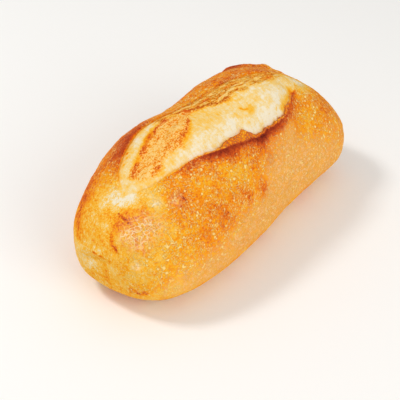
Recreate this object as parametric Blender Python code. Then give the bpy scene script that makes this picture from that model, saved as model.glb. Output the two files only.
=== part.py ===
"""A sourdough batard: one uncut loaf whose single slash opened into an ear.

The loaf lies along X on the plane z = 0, its broad end at +X and the ear on its -Y side. The body is a
stack of sections across X. Relief is laid on it in layers: the ear and the torn edge behind it, the crumb
that swelled out of the slash, the far lip, and the creases and blisters of the crust. Lengths are in metres.
"""

import math

import bmesh
import bpy
import numpy as np

NAME = "loaf"

# Body
LENGTH = 0.280
BELLY_HEIGHT = 0.0356  # of the widest line above the base
UNDERSIDE_DEPTH = 0.0444  # below the belly; the part that would pass z = 0 is the flat base
BASE_ROUNDING = 0.0030  # height over which the side turns into the base
SIDE_POWER = 0.91  # of the section's cosine: 1 is an ellipse, less is boxier
CROWN_POWER = 0.95  # of the section's sine above the belly
UNDERSIDE_POWER = 0.70  # and below it
NARROW_END_POWERS = (2.6, 3.0)  # how square and how blunt each end is, seen from above
BROAD_END_POWERS = (2.7, 3.1)
END_DROP_POWER = 0.90  # how much slower the height falls at an end than the width
# Share of the half length, half-width to the ear's side, half-width to the back, height of the crown
STATIONS = (
    (-1.00, 0.0785, 0.0640, 0.0955),
    (-0.66, 0.0705, 0.0685, 0.1035),
    (-0.33, 0.0665, 0.0740, 0.1120),
    (0.00, 0.0635, 0.0670, 0.1105),
    (0.33, 0.0620, 0.0670, 0.1140),
    (0.66, 0.0725, 0.0695, 0.1100),
    (1.00, 0.1050, 0.0750, 0.0945),
)

# Slash. Each line that runs along it is x against y.
CREST = (
    (-0.140, 0.0140), (-0.112, 0.0020), (-0.098, -0.0105), (-0.075, -0.0208), (-0.055, -0.0275),
    (-0.030, -0.0382), (0.000, -0.0462), (0.017, -0.0482), (0.036, -0.0485), (0.050, -0.0460),
    (0.062, -0.0410), (0.073, -0.0345), (0.086, -0.0290), (0.099, -0.0150), (0.140, 0.0300),
)
TEAR = (
    (-0.140, 0.0150), (-0.112, 0.0030), (-0.098, -0.0095), (-0.075, -0.0196), (-0.055, -0.0255),
    (-0.030, -0.0345), (0.000, -0.0398), (0.017, -0.0422), (0.036, -0.0430), (0.050, -0.0405),
    (0.062, -0.0365), (0.073, -0.0325), (0.086, -0.0282), (0.099, -0.0145), (0.140, 0.0320),
)
FAR_LIP = (
    (-0.140, -0.0100), (-0.112, 0.0020), (-0.094, 0.0190), (-0.083, 0.0245), (-0.067, 0.0300),
    (-0.053, 0.0322), (-0.032, 0.0280), (-0.013, 0.0240), (0.005, 0.0195), (0.032, 0.0110),
    (0.050, 0.0045), (0.065, 0.0005), (0.084, -0.0045), (0.095, -0.0085), (0.101, -0.0150), (0.140, -0.0400),
)
TOOTH = (-0.004, 0.0065, 0.0046)  # x, half-width and reach of the torn tooth that lies over the crumb
RAGGED = (0.009, 0.0009)  # length and depth of the nicks along the torn edge
# The lifts above the body, as x against z
EAR_RISE = (
    (-0.110, 0.0), (-0.070, 0.0004), (-0.050, 0.0018), (-0.030, 0.0042), (-0.010, 0.0064),
    (0.010, 0.0074), (0.040, 0.0074), (0.053, 0.0062), (0.065, 0.0038), (0.076, 0.0010), (0.085, 0.0),
)
FAR_RISE = (
    (-0.112, 0.0), (-0.095, 0.0022), (-0.070, 0.0030), (-0.045, 0.0022), (-0.025, 0.0006),
    (0.010, 0.0008), (0.040, 0.0016), (0.065, 0.0016), (0.080, 0.0008), (0.092, 0.0),
)
SWELL = (
    (-0.112, 0.0), (-0.090, 0.0006), (-0.050, 0.0014), (-0.015, 0.0028), (0.020, 0.0038),
    (0.050, 0.0036), (0.075, 0.0022), (0.099, 0.0),
)
SINK = (
    (-0.112, 0.0), (-0.098, 0.0012), (-0.050, 0.0017), (0.000, 0.0018), (0.055, 0.0018),
    (0.076, 0.0008), (0.092, 0.0),
)
EAR_SLOPE = 0.0080  # width of the ear's outer face
TEAR_DROP = 0.35  # share of the ear's rise that is lost at its torn edge
TEAR_STEP = 0.20  # share of it that stands over the crumb as a step
SINK_WIDTH = 0.0035  # of the dip of the crumb beside a lip
TIP_TAPER = 0.016  # width of the slash below which it grows shallow
WALL = 0.0006  # half the width over which a lip drops to the crumb
LIP_FALL = 0.0110  # distance over which the far lip sinks back into the crust

# Crust that baked on the crumb: a tongue at the narrow end and a wrinkled band beside the far lip
TONGUE_TOP = (
    (-0.100, 0.0000), (-0.088, 0.0040), (-0.073, 0.0085), (-0.058, 0.0110), (-0.031, 0.0120),
    (-0.020, 0.0060),
)
TONGUE_FOOT = (
    (-0.100, -0.0020), (-0.089, -0.0110), (-0.074, -0.0130), (-0.058, -0.0120), (-0.039, -0.0060),
    (-0.020, 0.0030),
)
TONGUE_ENDS = (-0.100, -0.020)
TONGUE_LIFT = 0.0016
BAND_FOOT = (
    (-0.030, 0.0080), (-0.019, 0.0000), (-0.004, -0.0005), (0.015, -0.0060), (0.041, -0.0110),
    (0.070, -0.0145), (0.095, -0.0160),
)
BAND_ENDS = (-0.024, 0.088)
BAND_LIFT = 0.0012
PATCH_EDGE = 0.0015
WRINKLE = (0.022, 0.0055, 0.0010)  # length along the loaf, width across it, and height
STRAND = (0.0055, 0.030, 0.0005)  # the same for the crumb's torn strands, which run across

# Creases in the crust: a line of points on the body, half-width and depth, or a ridge where it is negative
CREASES = (
    (((-0.1395, 0.0160, 0.042), (-0.1400, 0.0060, 0.047), (-0.1395, -0.0030, 0.046)), 0.0034, 0.0013),
    (((-0.1380, 0.0240, 0.044), (-0.1395, 0.0120, 0.051), (-0.1395, 0.0040, 0.052)), 0.0040, -0.0016),
    (((-0.1290, -0.0070, 0.081), (-0.1360, -0.0065, 0.070), (-0.1390, -0.0130, 0.058)), 0.0028, 0.0013),
    (((-0.1310, 0.0110, 0.077), (-0.1290, 0.0050, 0.080), (-0.1250, 0.0020, 0.084)), 0.0022, 0.0009),
    (((0.0740, -0.0380, 0.094), (0.0600, -0.0550, 0.074), (0.0400, -0.0660, 0.036)), 0.0130, 0.0018),
    (((0.0840, 0.0390, 0.095), (0.0960, 0.0280, 0.096), (0.1080, 0.0170, 0.092)), 0.0060, -0.0034),
    (((0.1080, 0.0170, 0.092), (0.1150, 0.0040, 0.090)), 0.0050, -0.0016),
)
# Blisters: place, radius, height, and the depth of the middle
BLISTERS = (
    ((-0.1290, -0.0280, 0.074), 0.0150, 0.0016, 0.0),
    ((-0.1335, -0.0200, 0.070), 0.0055, 0.0009, 0.0),
    ((-0.1245, -0.0370, 0.072), 0.0060, 0.0008, 0.0),
    ((-0.1160, -0.0380, 0.079), 0.0060, 0.0008, 0.0),
    ((-0.0928, -0.0370, 0.090), 0.0070, 0.0014, 0.0012),
    ((-0.1064, -0.0285, 0.089), 0.0055, 0.0008, 0.0006),
    ((-0.1380, -0.0310, 0.049), 0.0045, 0.0009, 0.0),
    ((-0.0300, -0.0620, 0.070), 0.0090, 0.0006, 0.0),
    ((-0.0150, -0.0670, 0.053), 0.0090, 0.0006, 0.0),
)
LUMPS = ((0.055, 0.0016), (0.024, 0.0007), (0.011, 0.0003))  # size and height of each layer of unevenness
SPINE_HALF = 0.075  # relief stands away from this line through the crumb
SPINE_HEIGHT = 0.045

# Mesh
ROWS = 102
END_ROW_SHARE = 0.62  # how much the rounded ends count against the straight middle when rows are spread
BACK_BASE, BACK_TUCK, BACK_SIDE, BACK_SHOULDER, FAR_WALL = 2, 5, 8, 4, 2
CRUMB_COLUMNS, TEAR_WALL, TORN_EDGE, EAR_FACE, EAR_SIDE, EAR_TUCK, EAR_BASE = 13, 2, 2, 4, 10, 5, 2
LEAST_GAP = 0.0060  # between the lip columns past the slash's tips

CRUST_COLOUR = (0.807, 0.391, 0.095, 1.0)
CRUST_ROUGHNESS = 0.62


def curve(x, knots):
    """The height at x of a smooth line through knots, level beyond its ends."""
    at, height = np.array(knots).T
    slope = np.gradient(height, at)
    i = np.clip(np.searchsorted(at, x) - 1, 0, len(at) - 2)
    gap = at[i + 1] - at[i]
    f = np.clip((x - at[i]) / gap, 0.0, 1.0)
    start = (2 * f**3 - 3 * f**2 + 1) * height[i] + (f**3 - 2 * f**2 + f) * gap * slope[i]
    end = (3 * f**2 - 2 * f**3) * height[i + 1] + (f**3 - f**2) * gap * slope[i + 1]
    return start + end


def step(value, low, high):
    """0 below low, 1 above high, and smooth between them."""
    f = np.clip((value - low) / (high - low), 0.0, 1.0)
    return f * f * (3 - 2 * f)


def unevenness(points, size, seed):
    """Smooth random values from -1 to 1, with features about size across."""
    scaled = points / size
    cell = np.floor(scaled).astype(np.int64)
    part = scaled - cell
    part = part * part * (3 - 2 * part)
    total = np.zeros(points.shape[:-1])
    for corner in np.ndindex(2, 2, 2):
        weight = np.prod(np.where(corner, part, 1 - part), axis=-1)
        key = (cell + corner) @ np.array((374761393, 668265263, 1274126177)) + seed * 974634777
        key = ((key ^ (key >> 13)) * 1103515245) & 0x7FFFFFFF
        key = ((key ^ (key >> 15)) * 69069) & 0x7FFFFFFF
        total += weight * (key / 0x3FFFFFFF - 1)
    return total


def distance_to_line(points, line):
    """The distance from each point to the nearest stretch of a line of points."""
    line = np.array(line)
    nearest = np.full(points.shape[:-1], np.inf)
    for start, end in zip(line[:-1], line[1:]):
        along = end - start
        share = np.clip((points - start) @ along / (along @ along), 0.0, 1.0)
        gap = np.linalg.norm(points - start - share[..., None] * along, axis=-1)
        nearest = np.minimum(nearest, gap)
    return nearest


def width_share(share):
    """The share of its full width that the loaf has at a share of its half length from the middle."""
    square, blunt = (np.where(share < 0, *powers) for powers in zip(NARROW_END_POWERS, BROAD_END_POWERS))
    return (1 - np.abs(share) ** square).clip(0) ** (1 / blunt)


def row_places():
    """The x of each row, from tip to tip: even steps along the outline seen from above, wider at the ends."""
    share = np.sin(np.linspace(-math.pi / 2, math.pi / 2, 4001))
    x = share * LENGTH / 2
    side = width_share(share) * STATIONS[3][1]
    along = np.abs(np.diff(x)) + END_ROW_SHARE * np.abs(np.diff(side))
    travelled = np.concatenate(([0.0], np.cumsum(along)))
    return np.interp(np.linspace(0, travelled[-1], ROWS), travelled, x)


def section_sizes(x):
    """At each x: half-width to the ear's side and to the back, height of the crown, and width share."""
    share = x / (LENGTH / 2)
    stations = np.array(STATIONS)
    full = width_share(share)
    ear_side, back, crown = (curve(share, stations[:, (0, i)]) for i in (1, 2, 3))
    return ear_side * full, back * full, crown, full


def body_point(x, angle):
    """The point of the plain body at x and at an angle round its section, from the back over the top."""
    ear_side, back, crown, full = section_sizes(x)
    cosine, sine = np.cos(angle), np.sin(angle)
    reach = np.where(cosine > 0, back, ear_side)
    y = np.sign(cosine) * np.abs(cosine) ** SIDE_POWER * reach
    fall = full**END_DROP_POWER
    above = (crown - BELLY_HEIGHT) * sine.clip(0) ** CROWN_POWER
    below = -UNDERSIDE_DEPTH * (-sine).clip(0) ** UNDERSIDE_POWER
    z = BELLY_HEIGHT + (above + below) * fall
    k = BASE_ROUNDING
    z = np.where(z > k, z, np.where(z > -k, (z + k) ** 2 / (4 * k), 0.0))
    return np.stack(np.broadcast_arrays(x, y, z), axis=-1)


def angle_at(y, ear_side, back):
    """The angle round the section at which the body's top has this y."""
    reach = np.where(y > 0, back, ear_side).clip(1e-6)
    share = (np.abs(y) / reach).clip(0, 0.97)
    return np.arccos(np.sign(y) * share ** (1 / SIDE_POWER))


def tear_line(x):
    """The y of the ear's torn edge, with its nicks and its tooth."""
    place, half_width, reach = TOOTH
    tooth = reach * np.clip(1 - np.abs(x - place) / half_width, 0, 1)
    length, depth = RAGGED
    nicks = depth * unevenness(np.stack((x, 0 * x, 0 * x), axis=-1), length, 7)
    return curve(x, TEAR) + tooth + nicks * step(curve(x, EAR_RISE), 0, 2 * depth)


def column_angles(x):
    """The angles of a row's columns. They follow the lips of the slash and the edges of the base."""
    ear_side, back, _, full = section_sizes(x)
    crest, tear, far = curve(x, CREST), tear_line(x), curve(x, FAR_LIP)
    middle = (tear + far) / 2
    crest = np.minimum(crest, middle - LEAST_GAP - 3 * WALL)
    tear = np.maximum(np.minimum(tear, middle - LEAST_GAP), crest + 3 * WALL)
    far = np.maximum(far, middle + LEAST_GAP)
    fall = full**END_DROP_POWER
    lowest = (BELLY_HEIGHT / (UNDERSIDE_DEPTH * fall).clip(1e-6)).clip(0, 0.97) ** (1 / UNDERSIDE_POWER)
    tuck = np.arcsin(lowest)
    quarter = np.full_like(x, math.pi / 2)
    inside = step(full, 0.15, 0.75)  # towards a tip the columns spread evenly again

    def place(y, even):
        return even + (angle_at(y, ear_side, back) - even) * inside

    marks = [
        -quarter,
        -tuck,
        0 * quarter,
        place(far + LIP_FALL, 0.66 * quarter),
        place(far + WALL, 0.84 * quarter),
        place(far - WALL, 0.88 * quarter),
        place(tear + WALL, 1.16 * quarter),
        place(tear - WALL, 1.20 * quarter),
        place(crest, 1.26 * quarter),
        place(crest - EAR_SLOPE, 1.38 * quarter),
        2 * quarter,
        2 * quarter + tuck,
        3 * quarter,
    ]
    counts = (
        BACK_BASE, BACK_TUCK, BACK_SIDE, BACK_SHOULDER, FAR_WALL, CRUMB_COLUMNS,
        TEAR_WALL, TORN_EDGE, EAR_FACE, EAR_SIDE, EAR_TUCK, EAR_BASE,
    )
    angles = []
    for low, high, count in zip(marks[:-1], marks[1:], counts):
        angles += [low + (high - low) * i / count for i in range(count)]
    return np.stack(angles, axis=-1)


def slash_relief(x, y):
    """The lift of the ear, the crumb and the far lip above the body."""
    crest, tear, far = curve(x, CREST), tear_line(x), curve(x, FAR_LIP)
    width = np.clip(far - tear, WALL, None)
    crust = np.where(y < tear + width / 2, ear_lift(x, y, crest, tear), far_lift(x, y, far))
    inside = step(y - tear, -WALL, WALL) * step(far - y, -WALL, WALL) * (far > tear)
    return crust + (crumb_lift(x, y, tear, width) - crust) * inside


def ear_lift(x, y, crest, tear):
    """The ear's outer face up to its crest, and the torn edge behind it."""
    outer = np.exp(-((np.clip(crest - y, 0, None) / EAR_SLOPE) ** 1.25))
    across = np.clip((y - crest) / np.clip(tear - crest, WALL, None), 0, 1)
    return curve(x, EAR_RISE) * outer * (1 - TEAR_DROP * across)


def far_lift(x, y, far):
    """The far lip, which falls back into the crust beyond it."""
    return curve(x, FAR_RISE) * np.exp(-((np.clip(y - far, 0, None) / LIP_FALL) ** 2))


def crumb_lift(x, y, tear, width):
    """The crumb between the lips: a swell that starts below each, with the crusts that baked on it."""
    share = np.clip((y - tear) / width, 0, 1)
    rise = curve(x, EAR_RISE)
    ear_level = rise * (1 - TEAR_DROP - TEAR_STEP) * (1 - step(share, 0.0, 0.75))
    lip_level = 0.4 * curve(x, FAR_RISE) * step(share, 0.6, 1.0)
    swell = curve(x, SWELL) * np.sin(math.pi * share) ** 0.8
    beside_lips = np.exp(-share * width / SINK_WIDTH) + np.exp(-(1 - share) * width / SINK_WIDTH)
    sink = curve(x, SINK) * beside_lips
    tongue = patch(x, y, TONGUE_FOOT, TONGUE_TOP, TONGUE_ENDS)
    band = patch(x, y, BAND_FOOT, FAR_LIP, BAND_ENDS)
    baked = np.clip(tongue + band, 0, 1)
    grain = baked * stretched(x, y, WRINKLE, 11) + (1 - baked) * stretched(x, y, STRAND, 13)
    lift = ear_level + lip_level + swell - sink + TONGUE_LIFT * tongue + BAND_LIFT * band
    return lift + grain * step(width, 0.0, TIP_TAPER)


def stretched(x, y, sizes, seed):
    """Unevenness with one size along the loaf, another across it, and a height."""
    along, across, height = sizes
    return height * unevenness(np.stack((x / along, y / across, 0 * x), axis=-1), 1.0, seed)


def patch(x, y, foot, top, ends):
    """1 on the patch between two lines and two ends, and 0 off it."""
    edge = PATCH_EDGE
    across = step(y - curve(x, foot), -edge, edge) * step(curve(x, top) - y, -edge, edge)
    return across * step(x - ends[0], 0, 4 * edge) * step(ends[1] - x, 0, 4 * edge)


def crust_relief(points):
    """How far creases, blisters and unevenness move the crust outwards."""
    out = sum(height * unevenness(points, size, seed) for seed, (size, height) in enumerate(LUMPS))
    for line, half_width, depth in CREASES:
        out = out - depth * np.exp(-((distance_to_line(points, line) / half_width) ** 2))
    for place, radius, height, hollow in BLISTERS:
        gap = np.linalg.norm(points - np.array(place), axis=-1) / radius
        out = out + height * np.exp(-(gap**4)) - hollow * np.exp(-((gap / 0.55) ** 2))
    return out


def outward(points):
    """The direction away from the middle of the crumb."""
    middle = np.stack(
        (points[..., 0].clip(-SPINE_HALF, SPINE_HALF), 0 * points[..., 1], 0 * points[..., 2] + SPINE_HEIGHT),
        axis=-1,
    )
    away = points - middle
    return away / np.linalg.norm(away, axis=-1, keepdims=True)


def loaf_points():
    """The rows of points of the loaf's skin, the first and last row drawn in to a tip."""
    rows = row_places()[:, None]
    points = body_point(rows, column_angles(rows[:, 0]))
    x, y, z = np.moveaxis(points, -1, 0)
    top = step(z, BELLY_HEIGHT, BELLY_HEIGHT + 0.030)
    lift = slash_relief(x, y) * top
    out = crust_relief(points) * step(z, 0.002, 0.016)
    points = points + out[..., None] * outward(points)
    points[..., 2] += lift
    points[..., 2] = np.where(z > 0, points[..., 2].clip(0), 0)
    return points


def skin_mesh(name):
    """One closed mesh of the loaf, its base a single flat face at z = 0."""
    points = loaf_points()
    rows, columns, _ = points.shape
    bm = bmesh.new()
    rings = [[bm.verts.new(p) for p in row] for row in points[1:-1]]
    tips = [bm.verts.new(points[i].mean(axis=0)) for i in (0, -1)]
    for ring, following in zip(rings[:-1], rings[1:]):
        for i in range(columns):
            j = (i + 1) % columns
            bm.faces.new((ring[i], ring[j], following[j], following[i]))
    for i in range(columns):
        j = (i + 1) % columns
        bm.faces.new((tips[0], rings[0][j], rings[0][i]))
        bm.faces.new((tips[1], rings[-1][i], rings[-1][j]))
    base = [f for f in bm.faces if all(v.co.z == 0 for v in f.verts)]
    bmesh.ops.dissolve_faces(bm, faces=base, use_verts=True)
    bmesh.ops.recalc_face_normals(bm, faces=bm.faces)
    bmesh.ops.triangulate(bm, faces=bm.faces, quad_method="SHORT_EDGE", ngon_method="BEAUTY")
    mesh = bpy.data.meshes.new(name)
    bm.to_mesh(mesh)
    bm.free()
    return mesh


def centre_on_base(mesh):
    """Moves the mesh so that the middle of its box stands on the origin."""
    low = np.min([v.co for v in mesh.vertices], axis=0)
    high = np.max([v.co for v in mesh.vertices], axis=0)
    for vertex in mesh.vertices:
        vertex.co.x -= (low[0] + high[0]) / 2
        vertex.co.y -= (low[1] + high[1]) / 2


def crust_material():
    """A matt golden crust."""
    material = bpy.data.materials.new("crust")
    material.use_nodes = True
    shader = material.node_tree.nodes["Principled BSDF"]
    shader.inputs["Base Color"].default_value = CRUST_COLOUR
    shader.inputs["Roughness"].default_value = CRUST_ROUGHNESS
    shader.inputs["Metallic"].default_value = 0.0
    material.diffuse_color = CRUST_COLOUR
    return material


def main():
    for leftover in list(bpy.data.objects):
        bpy.data.objects.remove(leftover)
    mesh = skin_mesh(NAME)
    centre_on_base(mesh)
    mesh.shade_smooth()
    mesh.materials.append(crust_material())
    loaf = bpy.data.objects.new(NAME, mesh)
    bpy.context.scene.collection.objects.link(loaf)


if __name__ == "__main__":
    main()
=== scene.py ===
"""The looks of a sourdough batard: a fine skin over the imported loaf, its bake, and a plain studio.

The loaf lies along X, its broad end at +X and the ear of its slash on the -Y side. The skin repeats the sizes
and the relief of the solid and adds what is finer: blisters, torn fibres, wrinkles and ragged edges. How far
each place is baked is a field over the skin, and one scale of baking colours turns it into the crust's tones.
The loaf's own sizes are in millimetres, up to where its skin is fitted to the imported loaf. The finish and the
studio are in metres.
"""

import logging
import math
from collections.abc import Iterable, Mapping, Sequence
from dataclasses import dataclass, field
from enum import Enum, IntEnum
from typing import Any

import bpy
import numpy as np
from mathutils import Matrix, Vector


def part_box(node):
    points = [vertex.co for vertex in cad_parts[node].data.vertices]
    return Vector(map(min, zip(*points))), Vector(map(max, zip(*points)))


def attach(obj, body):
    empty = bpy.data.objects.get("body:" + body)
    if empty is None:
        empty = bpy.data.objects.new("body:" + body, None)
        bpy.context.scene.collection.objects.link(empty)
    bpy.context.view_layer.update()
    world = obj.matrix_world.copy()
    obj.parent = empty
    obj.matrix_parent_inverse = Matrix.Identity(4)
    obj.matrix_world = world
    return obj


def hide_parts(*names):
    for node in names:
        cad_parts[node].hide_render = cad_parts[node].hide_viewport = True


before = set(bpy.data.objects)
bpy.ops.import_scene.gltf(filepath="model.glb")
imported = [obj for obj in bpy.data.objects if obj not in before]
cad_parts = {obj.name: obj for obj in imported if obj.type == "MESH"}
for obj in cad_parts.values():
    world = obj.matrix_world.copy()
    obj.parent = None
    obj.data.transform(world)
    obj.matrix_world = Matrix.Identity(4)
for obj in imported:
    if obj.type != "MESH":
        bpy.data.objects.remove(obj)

log = logging.getLogger("loaf")

Array = np.ndarray
Point = tuple[float, float, float]
Colour = tuple[float, float, float, float]
Span = tuple[float, float]
Knots = tuple[Span, ...]

# The least width that anything is divided by, in millimetres
TINY = 0.001
# How many points the outline is measured with
OUTLINE_STEPS = 4001
# How far a dome may stray from the middle of its cell, its radius, and how far that varies, in cells
DOME_STRAY, DOME_RADIUS, DOME_SPREAD = 0.35, 0.34, 0.16


# Numbers over the skin


class Seed(IntEnum):
    """Which random pattern each kind of unevenness reads. Several layers read the patterns that follow."""

    LUMPS = 0
    NICKS = 7
    WRINKLES = 11
    STRANDS = 13
    FIBRES = 17
    CRUMB_SWELLS = 18
    GRANULES = 19
    FISSURES = 21
    TORN_GRAIN = 23
    PATCH_EDGES = 25
    CRUST_GRAIN = 31
    BUBBLES = 41
    WORMS = 47
    TAN_EDGE = 61


def curve(x: Array, knots: Knots) -> Array:
    """The height at x of a smooth line through knots, level beyond its ends.

    Args:
        x: Where to read the line.
        knots: Points of the line, as (x, height).

    Returns:
        The heights, in the shape of x.
    """
    at, height = np.array(knots).T
    slope = np.gradient(height, at)
    i = np.clip(np.searchsorted(at, x) - 1, 0, len(at) - 2)
    gap = at[i + 1] - at[i]
    f = np.clip((x - at[i]) / gap, 0.0, 1.0)
    start = (2 * f**3 - 3 * f**2 + 1) * height[i] + (f**3 - 2 * f**2 + f) * gap * slope[i]
    end = (3 * f**2 - 2 * f**3) * height[i + 1] + (f**3 - f**2) * gap * slope[i + 1]
    return start + end


def step(value: Array, low: float, high: float) -> Array:
    """0 below low, 1 above high, and smooth between them."""
    f = np.clip((value - low) / (high - low), 0.0, 1.0)
    return f * f * (3 - 2 * f)


def lattice_value(cell: Array, seed: int) -> Array:
    """A fixed random number from -1 to 1 for each whole cell of a lattice.

    Args:
        cell: Whole numbers, three to a cell, on the last axis.
        seed: Which of the random lattices to read.

    Returns:
        One number for each cell.
    """
    # Large odd numbers, which scatter the values of neighbouring cells
    key = cell @ np.array((374761393, 668265263, 1274126177)) + seed * 974634777
    key = ((key ^ (key >> 13)) * 1103515245) & 0x7FFFFFFF
    key = ((key ^ (key >> 15)) * 69069) & 0x7FFFFFFF
    return key / 0x3FFFFFFF - 1


def unevenness(points: Array, size: float, seed: int) -> Array:
    """Smooth random values from -1 to 1, with features about size across.

    Args:
        points: Places, three numbers each on the last axis.
        size: Width of a feature.
        seed: Which of the random patterns to read.

    Returns:
        One value for each place.
    """
    scaled = points / size
    cell = np.floor(scaled).astype(np.int64)
    part = scaled - cell
    part = part * part * (3 - 2 * part)
    total = np.zeros(points.shape[:-1])
    for corner in np.ndindex(2, 2, 2):
        weight = np.prod(np.where(corner, part, 1 - part), axis=-1)
        total += weight * lattice_value(cell + corner, seed)
    return total


def bubbles(points: Array, size: float, share: float, seed: int) -> Array:
    """Round domes from 0 to 1, one at most in each cell of a lattice.

    Args:
        points: Places, three numbers each on the last axis.
        size: Width of a cell.
        share: Share of the cells that hold a dome.
        seed: Which of the random patterns to read.

    Returns:
        The height of the highest dome at each place.
    """
    scaled = points / size
    cell = np.floor(scaled).astype(np.int64)
    height = np.zeros(points.shape[:-1])
    for corner in np.ndindex(3, 3, 3):
        near = cell + corner - 1
        stray = np.stack([lattice_value(near, seed + i) for i in range(3)], axis=-1)
        middle = near + 0.5 + DOME_STRAY * stray
        radius = DOME_RADIUS + DOME_SPREAD * lattice_value(near, seed + 3)
        gap = np.linalg.norm(scaled - middle, axis=-1) / radius
        held = lattice_value(near, seed + 4) < 2 * share - 1
        height = np.maximum(height, np.where(held, (1 - gap**2).clip(0), 0) * radius * 2)
    return height


def bell(gap: Array, power: float = 2.0) -> Array:
    """1 where the gap is 0, falling smoothly to almost nothing a little past 1."""
    return np.exp(-(gap**power))


def between(value: Array, start: Span, end: Span) -> Array:
    """1 between two places and 0 outside them, smooth over the start and over the end."""
    return step(value, *start) * (1 - step(value, *end))


def flat(x: Array, y: Array) -> Array:
    """The places at these x and y on the table."""
    return np.stack((x, y, 0 * x), axis=-1)


def distance_to_line(points: Array, line: Sequence[Point]) -> Array:
    """The distance from each point to the nearest stretch of a line of points.

    Args:
        points: Places, three numbers each on the last axis.
        line: The corners of the line, in order.

    Returns:
        One distance for each place.
    """
    corners = np.array(line)
    nearest = np.full(points.shape[:-1], np.inf)
    for start, end in zip(corners[:-1], corners[1:]):
        along = end - start
        share = np.clip((points - start) @ along / (along @ along), 0.0, 1.0)
        gap = np.linalg.norm(points - start - share[..., None] * along, axis=-1)
        nearest = np.minimum(nearest, gap)
    return nearest


def stretched(x: Array, y: Array, sizes: Point, seed: int) -> Array:
    """Unevenness with one size along the loaf, another across it, and a height.

    Args:
        x: Places along the loaf.
        y: Places across it.
        sizes: The size along, the size across and the height.
        seed: Which of the random patterns to read.

    Returns:
        The unevenness at each place, from minus the height to the height.
    """
    along, across, height = sizes
    return height * unevenness(flat(x / along, y / across), 1.0, seed)


def thread(value: Array, half_width: float) -> Array:
    """1 where a value crosses zero, falling to 0 at half_width to either side: thin winding lines."""
    return 1 - step(np.abs(value), 0.0, half_width)


# Spots and lines on the loaf


@dataclass(frozen=True)
class Spot:
    """A round place on the loaf."""

    x: float
    y: float
    z: float
    radius: float

    def gap(self, points: Array) -> Array:
        """The distance of each point from the spot's middle, in radii."""
        return np.linalg.norm(points - np.array((self.x, self.y, self.z)), axis=-1) / self.radius


@dataclass(frozen=True)
class Stain(Spot):
    """A soft round patch that differs from what is round it."""

    amount: float
    power: float = 2.5

    def over(self, points: Array) -> Array:
        """What the stain adds at each point."""
        return self.amount * bell(self.gap(points), self.power)


@dataclass(frozen=True)
class Blister(Spot):
    """A round blister, with a hollow in its top where it has one."""

    height: float
    hollow: float = 0.0
    power: float = 4.0
    hollow_share: float = 0.55

    def over(self, points: Array) -> Array:
        """How far the blister stands out at each point."""
        gap = self.gap(points)
        return self.height * bell(gap, self.power) - self.hollow * bell(gap / self.hollow_share)


@dataclass(frozen=True)
class Streak:
    """A fine line, dark or pale or folded in."""

    line: tuple[Point, ...]
    half_width: float
    amount: float

    def over(self, points: Array) -> Array:
        """What the streak adds at each point."""
        return self.amount * bell(distance_to_line(points, self.line) / self.half_width)


def total(marks: Iterable[Stain | Blister | Streak], points: Array) -> Array:
    """What all the marks add at each point."""
    return sum(mark.over(points) for mark in marks)


# The loaf's form


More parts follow.
